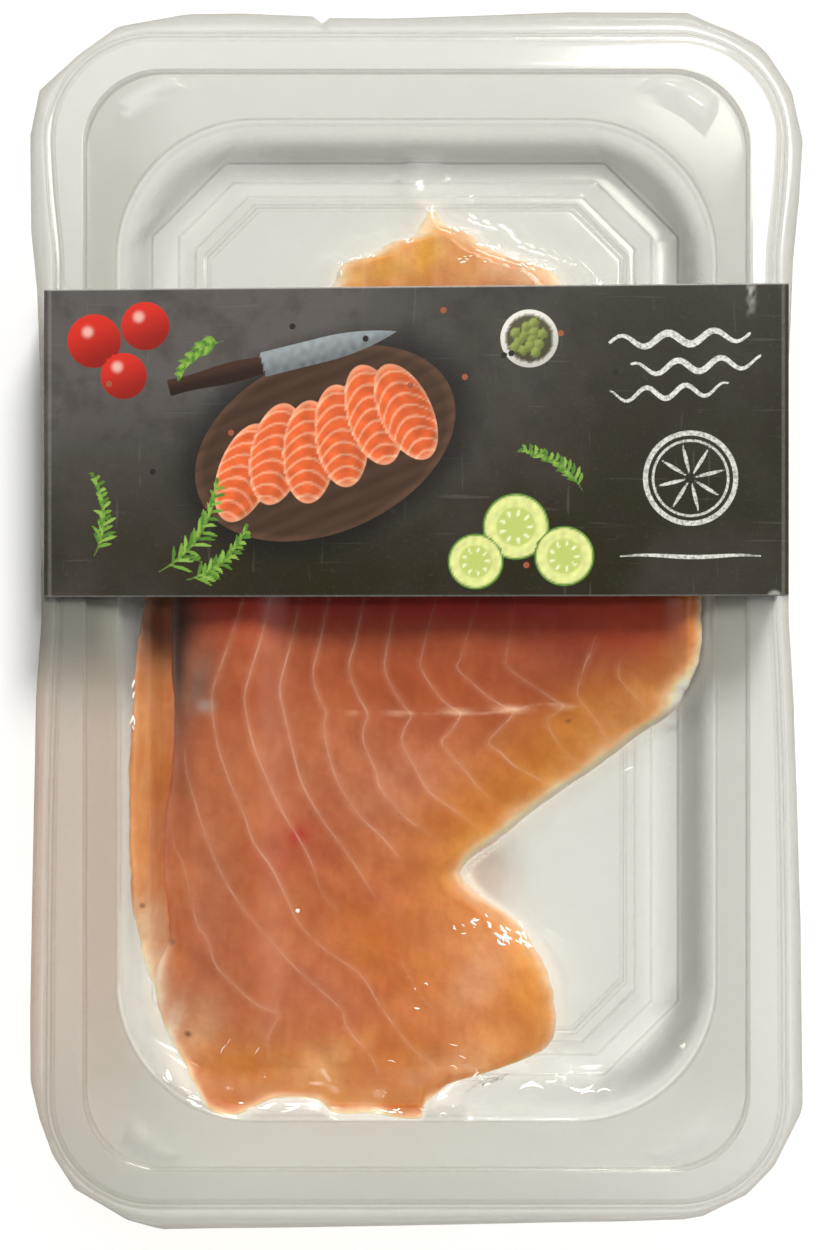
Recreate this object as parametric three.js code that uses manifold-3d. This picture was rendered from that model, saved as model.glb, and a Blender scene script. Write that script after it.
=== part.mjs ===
// Retail pack of sliced smoked salmon: a clear thermoformed tray, two slices of salmon on its raised
// floor, a clear skin film drawn down over them and sealed to the flange, and a printed card sleeve.
// Millimetres, +Z up, +Y along the length. The origin is under the middle of the pack.

import * as THREE from "three";
import { LoftGeometry } from "three/addons/geometries/LoftGeometry.js";
import { mergeVertices } from "three/addons/utils/BufferGeometryUtils.js";
import Module from "manifold-3d";

// ---- Driving dimensions ------------------------------------------------------------------------

const CLEARANCE = 0.3; // between neighbouring pieces
const TRAY_WALL = 0.5;
const FILM_WALL = 0.35;
const CARD = 0.45;

const SLEEVE = { halfX: 69.6, length: 58, middleY: 33.4, skewDeg: 0.4, foldRadius: 0.9 };

const FLOOR_Z = CARD + CLEARANCE + TRAY_WALL; // upper face of the gutter floor
const PANEL_Z = FLOOR_Z + 2.0; // raised middle panel that the salmon lies on
const LEDGE_Z = FLOOR_Z + 13.9; // ledge round the well
const FLANGE_Z = LEDGE_Z + 0.9; // seal flange

// How far the card sleeve pulls in the rim of the tray and the edge of the film: fully along the
// sleeve and a margin beyond it, then less and less over a reach towards the far and the near end.
const RIM_PINCH = 1.9;
const FILM_PINCH = 3.8;
const PINCH = { margin: 5, farReach: 13, farPower: 1.5, nearReach: 28 };

// Closed outlines on the upper face of the tray, from the middle of the panel out to the rim.
// halfX, halfY: half the sides. corner: leg of the corner. chamfer: 0 for an arc, 1 for a straight cut.
const PANEL = { halfX: 41.8, halfY: 80.5, corner: 10, chamfer: 1, z: PANEL_Z };
const GUTTER_IN = { halfX: 45.1, halfY: 83.3, corner: 10.3, chamfer: 1, z: FLOOR_Z };
const GUTTER_OUT = { halfX: 50.2, halfY: 87.0, corner: 14, chamfer: 1, z: FLOOR_Z };
const WALL_FOOT = { halfX: 50.9, halfY: 87.7, corner: 15, chamfer: 0.8, z: FLOOR_Z + 0.9 };
const WALL_TOP = { halfX: 55.3, halfY: 92.8, corner: 25.5, chamfer: 0, z: LEDGE_Z - 0.7 };
const WELL_EDGE = { halfX: 56.1, halfY: 93.6, corner: 26.3, chamfer: 0, z: LEDGE_Z };
const LEDGE_OUT = { halfX: 61.6, halfY: 102.2, corner: 14, chamfer: 0, z: LEDGE_Z };
const FLANGE_IN = { halfX: 62.1, halfY: 102.7, corner: 14.5, chamfer: 0, z: FLANGE_Z };
const FLANGE_OUT = { halfX: 69.3, halfY: 109.8, corner: 20.5, chamfer: 0, z: FLANGE_Z, pull: RIM_PINCH };
const LIP = { halfX: 70.0, halfY: 110.5, corner: 21.2, chamfer: 0, z: FLANGE_Z - 1.8, pull: RIM_PINCH };
const FILM_EDGE = { halfX: 72.2, halfY: 113.5, corner: 26, chamfer: 0, z: FLANGE_Z, pull: FILM_PINCH };

// Points on each outline: steps along a corner, a short side and a long side.
const CORNER_STEPS = 6;
const SHORT_STEPS = 6;
const LONG_STEPS = 12;

// Crescent lugs that keep stacked trays apart, one at each corner of the ledge: an arc about the
// well corner's centre inside, and outside a curve that is fullest near its low-angle end.
const LUG = { innerRadius: 35.6, bulge: 3.8, fromDeg: 47, toDeg: 70, height: 0.8 };
const LUG_CURVE = { heelDeg: 1, heelBulge: 4.9, toeDeg: 3, innerSteps: 5, outerSteps: 7 };
const FOOT_LUG = { x: 1.6, radius: 3.3, height: 2.4, steps: 7 }; // half round, at the far wall's foot

// Salmon: x of the left and right edges at each y, from the far end to the near end.
const MAIN_LEFT = [
  [78, 1.6], [75.5, 0.1], [73.5, -5], [71, -9.5], [68.5, -13.6], [63, -15.5], [55, -23], [41, -34.5],
  [23, -43], [4.5, -46], [-10, -46], [-20, -45.5], [-32, -46.5], [-40, -47.6], [-49.5, -47.2],
  [-59, -46], [-66, -47.5], [-70, -49.3], [-76, -47.6], [-82.5, -44.4], [-88, -40.6], [-91.4, -37],
];
const MAIN_RIGHT = [
  [78, 2.8], [75.5, 4.5], [73.5, 8.8], [71, 12.4], [68.5, 17], [63, 29.5], [52.5, 40], [37, 48.5],
  [21, 52.6], [4, 53.6], [-8.5, 52.8], [-16.5, 49], [-22, 42.5], [-27.5, 35], [-34, 25.5],
  [-41.5, 16], [-47.5, 8.8], [-51.5, 11.2], [-57, 18.5], [-64.5, 24], [-73, 26.5], [-81.5, 24.5],
  [-86, 17], [-89, 9], [-91.4, 3],
];
const UNDER_LEFT = [
  [9, -49], [4, -51], [-15, -53.2], [-34, -53.8], [-48.5, -53.6], [-56, -52.6], [-61, -51.2],
  [-66, -48.6],
];
const UNDER_RIGHT = [[9, -35], [-20, -33], [-45, -36], [-66, -41]];

const MAIN = { thick: 8.2, edge: 5.5, across: 14, rows: 36 };
const UNDER = { thick: 3.6, edge: 3.2, across: 8, rows: 14 };
const SALMON_Z = PANEL_Z + CLEARANCE; // lowest level of the salmon
const WAIST = 0.35; // height of a slice's widest line, as a share of its thickness
const BLUNT = { depth: 1.2, least: 0.3 }; // a slice starts this deep into its end, at least this thick
const ROW_CROWDING = 0.35; // share of the row spacing that crowds towards the two ends
const BELOW_LEDGE = 0.6; // the salmon's top stays this far under the ledge
const THINNEST = 1.6; // where the wall lifts the salmon
const WALL_SLOPE = 1.55; // rise of the well's wall for each millimetre out, on its gentle corners

// The main slice lies over the under slice left of `from`, comes down to the panel by `to`, and
// comes down over `run` millimetres past each end of the under slice.
const DRAPE = { from: -32, to: -22, gap: 1, run: 8 };
const FLAP = { x: 14, y: -66, spanX: 11, spanY: 14, swell: 0.12 }; // thicker flap at the near end
const THIN_SIDE = { from: -44, to: -22, loss: 0.35 }; // the main slice thins over the under slice

const FILM_SPREAD = 3; // how far out the film reaches the floor round the salmon
const GROW_MARGIN = 1.35; // allows for the flat faces of a grown piece
const UNDERNEATH = -6; // a level below the whole pack, for the blocks that shape the film
const OVERCUT = 2; // how far the inner block passes the edge of the film

// ---- Outlines and profiles ----------------------------------------------------------------------

const TURN = Math.PI * 2;

// 1 along the sleeve, easing to 0 beyond each of its ends.
function pinch(y) {
  const beyond = Math.abs(y - SLEEVE.middleY) - SLEEVE.length / 2 - PINCH.margin;
  if (beyond <= 0) return 1;
  return y > SLEEVE.middleY
    ? Math.exp(-((beyond / PINCH.farReach) ** PINCH.farPower))
    : Math.exp(-beyond / PINCH.nearReach);
}

// Points of a closed outline, counter-clockwise seen from above.
function outline({ halfX, halfY, corner, chamfer, z, pull = 0 }) {
  const points = [];
  const quadrants = [[1, 1], [-1, 1], [-1, -1], [1, -1]];
  quadrants.forEach(([sx, sy], q) => {
    const start = (q * TURN) / 4;
    const centre = new THREE.Vector2(sx * (halfX - corner), sy * (halfY - corner));
    const on = (angle) => new THREE.Vector2(corner, 0).rotateAround(new THREE.Vector2(), angle).add(centre);
    const first = on(start);
    const last = on(start + TURN / 4);
    for (let i = 0; i <= CORNER_STEPS; i++) {
      const t = i / CORNER_STEPS;
      points.push(on(start + (t * TURN) / 4).lerp(first.clone().lerp(last, t), chamfer));
    }
    const [nx, ny] = quadrants[(q + 1) % 4];
    const run = new THREE.Vector2((nx - sx) * (halfX - corner), (ny - sy) * (halfY - corner));
    const next = last.clone().add(run);
    const steps = sx === nx ? LONG_STEPS : SHORT_STEPS;
    for (let i = 1; i < steps; i++) points.push(last.clone().lerp(next, i / steps));
  });
  return points.map((p) => new THREE.Vector3(p.x - Math.sign(p.x) * pull * pinch(p.y), p.y, z));
}

// The outline a share of the way from one to another.
function between(a, b, share) {
  const keys = ["halfX", "halfY", "corner", "chamfer", "z"];
  return Object.fromEntries(keys.map((key) => [key, THREE.MathUtils.lerp(a[key], b[key], share)]));
}

const UPPER_FACE = [
  { ...PANEL, halfX: PANEL.halfX / 3, halfY: PANEL.halfY / 2 },
  PANEL, GUTTER_IN, GUTTER_OUT, WALL_FOOT,
  between(WALL_FOOT, WALL_TOP, 1 / 3), between(WALL_FOOT, WALL_TOP, 2 / 3),
  WALL_TOP, WELL_EDGE, LEDGE_OUT, FLANGE_IN, FLANGE_OUT,
];

// The stations moved by a distance along the normal of their profile, upwards where it is positive.
function offsetStations(stations, distance) {
  const reach = (s) => (s.halfX + s.halfY) / 2;
  const normalOf = (a, b) => new THREE.Vector2(a.z - b.z, reach(b) - reach(a)).normalize();
  return stations.map((s, i) => {
    const before = i > 0 ? normalOf(stations[i - 1], s) : normalOf(s, stations[i + 1]);
    const after = i < stations.length - 1 ? normalOf(s, stations[i + 1]) : before;
    const mitre = before.clone().add(after).normalize();
    mitre.multiplyScalar(distance / mitre.dot(before));
    const cornerGrowth = s.chamfer < 1 ? 1 : 2 - Math.SQRT2; // keeps a straight cut parallel
    return {
      ...s,
      halfX: s.halfX + mitre.x,
      halfY: s.halfY + mitre.x,
      corner: Math.max(s.corner + cornerGrowth * mitre.x, 1),
      z: s.z + mitre.y,
    };
  });
}

// Value at y of a smooth line through [y, value] pairs whose y falls: cubic spans with the slopes of
// the chords between each point's neighbours.
function along(pairs, y) {
  const last = pairs.length - 1;
  if (y >= pairs[0][0]) return pairs[0][1];
  if (y <= pairs[last][0]) return pairs[last][1];
  const i = pairs.findIndex((pair, k) => k < last && y <= pair[0] && y > pairs[k + 1][0]);
  const slope = (k) => {
    const a = pairs[Math.max(k - 1, 0)];
    const b = pairs[Math.min(k + 1, last)];
    return (b[1] - a[1]) / (b[0] - a[0]);
  };
  const [y0, v0] = pairs[i];
  const [y1, v1] = pairs[i + 1];
  const span = y1 - y0;
  const t = (y - y0) / span;
  const rise = t * t * (3 - 2 * t);
  return v0 + (v1 - v0) * rise + span * (t * (1 - t) ** 2 * slope(i) - t * t * (1 - t) * slope(i + 1));
}

// ---- Solids --------------------------------------------------------------------------------------

const wasm = await Module();
wasm.setup();

function toSolid(geometry) {
  const bare = new THREE.BufferGeometry();
  const loose = geometry.index ? geometry.toNonIndexed() : geometry;
  bare.setAttribute("position", loose.getAttribute("position"));
  const merged = mergeVertices(bare, 1e-4);
  const solid = new wasm.Manifold(
    new wasm.Mesh({
      numProp: 3,
      vertProperties: merged.attributes.position.array,
      triVerts: new Uint32Array(merged.index.array),
    }),
  );
  if (solid.volume() < 0) throw new Error("a piece is inside out");
  return solid;
}

function toGeometry(solid) {
  const mesh = solid.getMesh();
  const geometry = new THREE.BufferGeometry();
  geometry.setAttribute("position", new THREE.BufferAttribute(Float32Array.from(mesh.vertProperties), 3));
  geometry.setIndex(new THREE.BufferAttribute(Uint32Array.from(mesh.triVerts), 1));
  geometry.computeVertexNormals();
  return geometry;
}

// A solid through closed sections, counter-clockwise seen from its last one, with each end closed by
// a fan from its middle.
function loft(sections) {
  const fan = (points) => {
    const middle = points.reduce((sum, p) => sum.add(p), new THREE.Vector3()).divideScalar(points.length);
    return points.map(() => middle.clone());
  };
  return toSolid(new LoftGeometry([fan(sections[0]), ...sections, fan(sections.at(-1))]));
}

const joined = (solids) => solids.reduce((whole, solid) => whole.add(solid));

// A closed line of points moved outwards by a distance, counter-clockwise seen from above.
function swollen(points, distance) {
  return points.map((p, i) => {
    const before = points.at(i - 1);
    const after = points[(i + 1) % points.length];
    const out = new THREE.Vector2(after.y - before.y, before.x - after.x).normalize();
    return p.clone().addScaledVector(out, distance);
  });
}

// The crescent lug at the corner between +X and +Y.
function crescent() {
  const { halfX, halfY, corner } = WELL_EDGE;
  const centre = new THREE.Vector2(halfX - corner, halfY - corner);
  const on = (deg, radius) => {
    const angle = THREE.MathUtils.degToRad(deg);
    return new THREE.Vector2(radius, 0).rotateAround(new THREE.Vector2(), angle).add(centre);
  };
  const { innerRadius, bulge, fromDeg, toDeg } = LUG;
  const { heelDeg, heelBulge, toeDeg, innerSteps, outerSteps } = LUG_CURVE;
  const inner = [];
  for (let i = 0; i <= innerSteps; i++) {
    inner.push(on(THREE.MathUtils.lerp(toDeg, fromDeg, i / innerSteps), innerRadius));
  }
  const outer = new THREE.CubicBezierCurve(
    inner.at(-1),
    on(fromDeg + heelDeg, innerRadius + heelBulge),
    on(toDeg - toeDeg, innerRadius + bulge),
    inner[0],
  );
  return [...inner, ...outer.getPoints(outerSteps).slice(1, -1)];
}

// The crescent lugs and the half-round foot lug, grown by a distance on the sides and on top.
function lugs(grow) {
  const sunk = TRAY_WALL / 2;
  const shape = new THREE.Shape(swollen(crescent(), GROW_MARGIN * grow));
  const prism = new THREE.ExtrudeGeometry(shape, { depth: LUG.height + grow + sunk, bevelEnabled: false });
  const first = toSolid(prism.translate(0, 0, LEDGE_Z - sunk));
  const far = [first, first.mirror([1, 0, 0])];

  const half = new THREE.Shape().absarc(0, 0, FOOT_LUG.radius + grow, Math.PI, TURN);
  const depth = FOOT_LUG.height + grow + sunk;
  const foot = new THREE.ExtrudeGeometry(half, { depth, bevelEnabled: false, curveSegments: FOOT_LUG.steps });
  const lean = (WALL_TOP.halfY - WALL_FOOT.halfY) / (WALL_TOP.z - WALL_FOOT.z);
  foot.applyMatrix4(new THREE.Matrix4().makeShear(0, 0, 0, 0, 0, lean));
  foot.translate(FOOT_LUG.x, WALL_FOOT.halfY - sunk, FLOOR_Z - sunk);
  return [...far, ...far.map((solid) => solid.mirror([0, 1, 0])), toSolid(foot)];
}

// The tray: out along the lower face, round the rim and back in along the upper face.
function trayShell() {
  const upper = [...UPPER_FACE, LIP];
  const shell = loft([...offsetStations(upper, -TRAY_WALL), ...upper.toReversed()].map(outline));
  return joined([shell, ...lugs(0)]);
}

// All that is under the tray's upper face, raised by a distance, out to the edge of the film.
function trayBlock(raise, beyond) {
  const edge = { ...FILM_EDGE, halfX: FILM_EDGE.halfX + beyond, halfY: FILM_EDGE.halfY + beyond };
  const raised = offsetStations([...UPPER_FACE, FILM_EDGE], raise);
  raised[raised.length - 1] = { ...edge, z: FLANGE_Z + raise };
  const block = loft([{ ...edge, z: UNDERNEATH }, ...raised.toReversed()].map(outline));
  return joined([block, ...lugs(raise)]);
}

// Height of the tray's wall at a point of the well, a little over its true height.
function wallHeight(x, y) {
  const { halfX, halfY, corner, z } = WALL_TOP;
  const dx = Math.max(Math.abs(x) - (halfX - corner), 0);
  const dy = Math.max(Math.abs(y) - (halfY - corner), 0);
  const inside = corner - Math.hypot(dx, dy);
  return Math.max(FLOOR_Z, z - WALL_SLOPE * inside);
}

// 0 at the edge of a slice, rising like a quarter ellipse to 1 at a depth into it.
const roundOff = (depth, radius) => Math.sqrt(1 - (1 - Math.min(Math.max(depth, 0) / radius, 1)) ** 2);

// Rows of a slice across its width. Each row gives x, y, and the lower and upper face at each point.
function sliceRows({ thick, edge, across, rows }, left, right, baseOf, swellOf) {
  const [far, near] = [left[0][0], left.at(-1)[0]];
  const crowded = (i, steps) => (1 - Math.cos((Math.PI * i) / steps)) / 2;
  return Array.from({ length: rows + 1 }, (_, j) => {
    const y = far + (near - far) * THREE.MathUtils.lerp(j / rows, crowded(j, rows), ROW_CROWDING);
    const [x0, x1] = [along(left, y), along(right, y)];
    const end = Math.max(roundOff(Math.min(far - y, y - near) + BLUNT.depth, edge), BLUNT.least);
    return Array.from({ length: across + 1 }, (_, i) => {
      const u = crowded(i, across);
      const x = x0 + (x1 - x0) * u;
      const level = baseOf(x, y);
      const room = Math.max(LEDGE_Z - BELOW_LEDGE - level, THINNEST);
      const height = Math.min(thick * swellOf(x, y) * end, room);
      const round = roundOff(Math.min(u, 1 - u) * (x1 - x0), edge);
      const waist = level + WAIST * height;
      return { x, y, low: waist - WAIST * height * round, high: waist + (1 - WAIST) * height * round };
    });
  });
}

// A slice: left to right along the lower face of each row and back along the upper face.
const slice = (rows) =>
  loft(
    rows.map((row) => [
      ...row.slice(1, -1).map(({ x, y, low }) => new THREE.Vector3(x, y, low)),
      ...row.toReversed().map(({ x, y, high }) => new THREE.Vector3(x, y, high)),
    ]),
  );

// All that is under a slice grown by a distance: its sides run out a little and down below the floor.
function sliceBlock(rows, grow) {
  const point = (j, i) => {
    const { x, y, high } = rows[THREE.MathUtils.clamp(j, 0, rows.length - 1)].at(i);
    return new THREE.Vector3(x, y, high);
  };
  const foot = ({ x, y }, spread) => new THREE.Vector3(x + spread, y, UNDERNEATH + 1);
  return loft(
    rows.map((row, j) => {
      const last = row.length - 1;
      const top = row.map((_, i) => {
        const acrossIt = point(j, Math.min(i + 1, last)).sub(point(j, Math.max(i - 1, 0)));
        const alongIt = point(j - 1, i).sub(point(j + 1, i));
        const normal = acrossIt.cross(alongIt).normalize();
        if (j === 0) normal.y = 1;
        if (j === rows.length - 1) normal.y = -1;
        return point(j, i).addScaledVector(normal, grow * GROW_MARGIN);
      });
      return [foot(top[0], -FILM_SPREAD), foot(top[last], FILM_SPREAD), ...top.toReversed()];
    }),
  );
}

const { smoothstep } = THREE.MathUtils;

const underBase = (x, y) => Math.max(SALMON_Z, wallHeight(x, y) + CLEARANCE);
const underSwell = (x, y) => 1 + 0.12 * Math.sin(0.21 * y);
const underRows = sliceRows(UNDER, UNDER_LEFT, UNDER_RIGHT, underBase, underSwell);

// The main slice lies over the under slice along its left side and dips to the panel beyond it.
function mainBase(x, y) {
  const [far, near] = [UNDER_LEFT[0][0] + DRAPE.gap, UNDER_LEFT.at(-1)[0] - DRAPE.gap];
  const over = smoothstep(y, near - DRAPE.run, near) * (1 - smoothstep(y, far, far + DRAPE.run));
  const beside = 1 - smoothstep(x, DRAPE.from, DRAPE.to);
  const lift = (1.12 * UNDER.thick + 2 * CLEARANCE) * over * beside;
  return Math.max(SALMON_Z + lift, wallHeight(x, y) + 2 * CLEARANCE);
}

function mainSwell(x, y) {
  const wave = 0.05 * Math.sin(0.12 * y + 0.05 * x) + 0.04 * Math.sin(0.15 * x - 0.04 * y);
  const flap = FLAP.swell * Math.exp(-(((x - FLAP.x) / FLAP.spanX) ** 2) - ((y - FLAP.y) / FLAP.spanY) ** 2);
  const thin = THIN_SIDE.loss * (1 - smoothstep(x, THIN_SIDE.from, THIN_SIDE.to));
  return 1 + wave + flap - thin;
}

const mainRows = sliceRows(MAIN, MAIN_LEFT, MAIN_RIGHT, mainBase, mainSwell);

// The film: the skin between two grown copies of what it is drawn down over.
function filmSkin() {
  const block = (grow, beyond) =>
    joined([trayBlock(grow, beyond), sliceBlock(mainRows, grow), sliceBlock(underRows, grow)]);
  return block(CLEARANCE + FILM_WALL, 0).subtract(block(CLEARANCE, OVERCUT));
}

// The card sleeve: a closed band with rounded folds.
function sleeveGeometry() {
  const height = FLANGE_Z + 2 * CLEARANCE + FILM_WALL + CARD;
  const band = (Outline, inset) => {
    const path = new Outline();
    const [x, low, high, r] = [SLEEVE.halfX - inset, inset, height - inset, SLEEVE.foldRadius - inset];
    path.moveTo(-x + r, low).lineTo(x - r, low).absarc(x - r, low + r, r, -Math.PI / 2, 0);
    path.absarc(x - r, high - r, r, 0, Math.PI / 2).absarc(-x + r, high - r, r, Math.PI / 2, Math.PI);
    path.absarc(-x + r, low + r, r, Math.PI, 1.5 * Math.PI);
    return path;
  };
  const ring = band(THREE.Shape, 0);
  ring.holes.push(band(THREE.Path, CARD));
  const options = { depth: SLEEVE.length, bevelEnabled: false, curveSegments: 3 };
  const geometry = new THREE.ExtrudeGeometry(ring, options);
  return geometry.translate(0, 0, -SLEEVE.length / 2).rotateX(Math.PI / 2);
}

// ---- Scene graph ---------------------------------------------------------------------------------

function piece(name, geometry, material) {
  const mesh = new THREE.Mesh(geometry, new THREE.MeshStandardMaterial({ metalness: 0, ...material }));
  mesh.name = name;
  return mesh;
}

const clear = { color: 0xdfe0d8, roughness: 0.08, transparent: true, opacity: 0.3 };

const sleeve = piece("sleeve", sleeveGeometry(), { color: 0x2f2c2a, roughness: 0.55 });
sleeve.position.y = SLEEVE.middleY;
sleeve.rotation.z = THREE.MathUtils.degToRad(SLEEVE.skewDeg);

const pack = new THREE.Group();
pack.add(
  piece("tray", toGeometry(trayShell()), clear),
  piece("salmon_under_slice", toGeometry(slice(underRows)), { color: 0xc97a3a, roughness: 0.35 }),
  piece("salmon_main_slice", toGeometry(slice(mainRows)), { color: 0xc8703f, roughness: 0.35 }),
  piece("film", toGeometry(filmSkin()), clear),
  sleeve,
);

export default pack;
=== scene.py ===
"""A retail pack of sliced smoked salmon: clear tray, skin film, two slices and a printed card sleeve.

Shapes are worked out in millimetres and written to their meshes in metres, in the frame's axes:
+X across the pack, +Y along it towards the end nearer the sleeve, +Z up.
"""

import math
from collections import namedtuple

import bmesh
import bpy
import numpy as np
from bpy.props import FloatProperty, FloatVectorProperty, PointerProperty
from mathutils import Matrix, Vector


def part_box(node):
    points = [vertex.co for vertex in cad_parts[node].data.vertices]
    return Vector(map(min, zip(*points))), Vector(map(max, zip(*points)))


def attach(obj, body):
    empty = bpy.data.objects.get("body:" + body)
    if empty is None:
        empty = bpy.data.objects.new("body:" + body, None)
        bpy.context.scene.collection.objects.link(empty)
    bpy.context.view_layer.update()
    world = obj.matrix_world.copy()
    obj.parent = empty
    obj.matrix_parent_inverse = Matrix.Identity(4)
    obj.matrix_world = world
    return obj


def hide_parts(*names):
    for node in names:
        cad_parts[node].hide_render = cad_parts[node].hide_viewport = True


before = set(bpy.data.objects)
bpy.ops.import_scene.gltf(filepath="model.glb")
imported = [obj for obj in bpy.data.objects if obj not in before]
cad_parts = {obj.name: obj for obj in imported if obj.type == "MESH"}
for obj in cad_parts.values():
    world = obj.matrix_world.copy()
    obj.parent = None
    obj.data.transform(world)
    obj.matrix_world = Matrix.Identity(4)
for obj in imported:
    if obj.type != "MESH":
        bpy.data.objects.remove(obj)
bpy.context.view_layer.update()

bl_info = {
    "name": "Smoked Salmon Pack",
    "version": (1, 0, 0),
    "blender": (4, 5, 0),
    "location": "3D View > Sidebar > Salmon Pack",
    "description": "Builds a clear pack of smoked salmon with a printed card sleeve",
    "category": "Object",
}

MM = 0.001
BODY = "root"


def box_mm(node):
    """Lowest and highest corner of a solid of the frame, in millimetres."""
    low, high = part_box(node)
    return np.array(low) / MM, np.array(high) / MM


def linear(code):
    """Linear colour of a screen colour written as six hexadecimal digits."""
    shown = np.array([int(code[i:i + 2], 16) / 255 for i in (0, 2, 4)])
    light = np.where(shown <= 0.04045, shown / 12.92, ((shown + 0.055) / 1.055) ** 2.4)
    return tuple(float(v) for v in light)


def solid(colour):
    """A colour with full alpha, as colour sockets take it."""
    return (*colour, 1.0)


# ---- Sizes and colours ---------------------------------------------------------------------------

TRAY_LOW, TRAY_HIGH = box_mm("tray")
SLEEVE_LOW, SLEEVE_HIGH = box_mm("sleeve")


def length(label, words, millimetres):
    """A length property, kept in metres."""
    metres = millimetres * MM
    return FloatProperty(name=label, description=words, default=metres, unit="LENGTH", precision=5)


def tint(label, words, code):
    """A colour property."""
    shown = {"subtype": "COLOR", "size": 3}
    return FloatVectorProperty(name=label, description=words, default=linear(code), **shown)


class SalmonPackSizes(bpy.types.PropertyGroup):
    """Sizes of the pack's pieces."""

    tray_wall: length("Tray wall", "Thickness of the clear tray", 0.45)
    film_wall: length("Film", "Thickness of the skin film", 0.3)
    film_gap: length("Film gap", "Space between the film and what it lies on", 0.32)
    film_reach: length("Film reach", "How far the film slopes out round the fish", 4.6)
    card: length("Card", "Thickness of the sleeve's card", 0.42)
    main_thick: length("Main slice", "Thickness of the upper slice", 5.6)
    under_thick: length("Under slice", "Thickness of the slice below", 3.4)
    line: length("White line", "Width of the white lines of the fish", 0.28)
    view_height: length("View height", "Height of the picture at the level of the flange", 232.9)
    camera_height: length("Camera height", "From the flange up to the camera", 600)


class SalmonPackColours(bpy.types.PropertyGroup):
    """Colours of the pack's pieces."""

    plastic: tint("Clear plastic", "Smoky tint of the tray", "8C897B")
    film: tint("Film", "Smoky tint of the skin film", "969184")
    flesh: tint("Flesh", "Main colour of the fish", "BC6E40")
    fat: tint("Fat", "White lines between the flakes", "EEC8AC")
    ground: tint("Print ground", "Slate colour of the sleeve", "241F08")
    core: tint("Card core", "Cut edges and inside of the card", "A9A69E")
    floor: tint("Floor", "Surface under the pack", "FAFAF8")


# ---- Tray outlines -------------------------------------------------------------------------------

WALL = 0.5
FLANGE_Z = TRAY_HIGH[2]
LEDGE_Z = FLANGE_Z - 0.9  # the ledge round the well lies a step below the flange
FLOOR_Z = TRAY_LOW[2] + WALL
PANEL_Z = FLOOR_Z + 2.0  # and the middle of the floor a step above the gutter round it

SLEEVE_MIDDLE = (SLEEVE_LOW[1] + SLEEVE_HIGH[1]) / 2
PINCH_FROM = 34.0  # the rim is pulled in fully this far from the sleeve's middle
PINCH_FAR, PINCH_NEAR = 13.0, 28.0  # and eases out over these lengths

# Stations of the tray's upper face, from the middle of the panel out to the lip:
# half x, half y, corner leg, corner cut (0 arc, 1 straight), height, pull by the sleeve.
HALF_X, HALF_Y, CORNER, CUT, HEIGHT, PULL = range(6)
PANEL = (41.8, 80.5, 10.0, 1, PANEL_Z, 0)
GUTTER_IN = (45.1, 83.3, 10.3, 1, FLOOR_Z, 0)
GUTTER_OUT = (50.2, 87.0, 14.0, 1, FLOOR_Z, 0)
WALL_FOOT = (50.9, 87.7, 15.0, 0.8, FLOOR_Z + 0.9, 0)
WALL_TOP = (55.3, 92.8, 25.5, 0, LEDGE_Z - 0.7, 0)
WELL_EDGE = (56.1, 93.6, 26.3, 0, LEDGE_Z - 0.12, 0)
LEDGE_OUT = (61.6, 102.2, 14.0, 0, LEDGE_Z + 0.22, 0)
FLANGE_IN = (62.1, 102.7, 14.5, 0, FLANGE_Z, 0)
BEAD_IN = (67.7, 108.2, 18.9, 0, FLANGE_Z, 1.9)
BEAD_TOP = (68.3, 108.8, 19.5, 0, FLANGE_Z - 0.25, 1.9)
FLANGE_OUT = (69.3, 109.8, 20.5, 0, FLANGE_Z, 1.9)
LIP = (69.95, 110.45, 21.2, 0, FLANGE_Z - 1.8, 1.9)
INNER_LINE = 2.2  # a faint moulded line runs this far inside the panel's edge

# Crescent lugs on the ledge: their angles and radius about the well's corner centre
LUG_FROM, LUG_TO, LUG_RADIUS, LUG_BULGE, LUG_HEIGHT = 47.0, 70.0, 35.6, 10.14, 0.8
# Half-round lug at the foot of the far wall
FOOT_LUG_X, FOOT_LUG_RADIUS, FOOT_LUG_HEIGHT = 1.6, 3.3, 2.4

CORNER_POINTS = 26


def smooth(low, high, value):
    """0 below low and 1 above high, with the cubic 3t^2 - 2t^3 between them."""
    t = np.clip((value - low) / (high - low), 0, 1)
    return t * t * (3 - 2 * t)


def blend(a, b, share):
    """The value a share of the way from a to b."""
    return a + (b - a) * share


def ripples(x, y, wavelength, seed, waves=12):
    """Random even relief of about -1 to 1: a sum of plane waves near one wavelength, with seeded
    directions, lengths and phases."""
    draw = np.random.default_rng(seed)
    turn, phase = draw.uniform(0, math.tau, (2, waves))
    pace = math.tau / (wavelength * draw.uniform(0.7, 1.5, waves))
    along_wave = np.multiply.outer(x, np.cos(turn)) + np.multiply.outer(y, np.sin(turn))
    return np.sin(pace * along_wave + phase).sum(-1) / math.sqrt(waves)


def pinch(y):
    """1 along the sleeve, then exp(-(d/13)^1.5) towards the far end and exp(-d/28) towards the near."""
    beyond = np.maximum(np.abs(y - SLEEVE_MIDDLE) - PINCH_FROM, 0)
    far, near = np.exp(-((beyond / PINCH_FAR) ** 1.5)), np.exp(-beyond / PINCH_NEAR)
    return np.where(y > SLEEVE_MIDDLE, far, near)


def spread(a, b, steps):
    """Stations at even shares from a up to b, without b."""
    return blend(np.array(a, float), np.array(b, float), np.arange(steps)[:, None] / steps)


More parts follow.
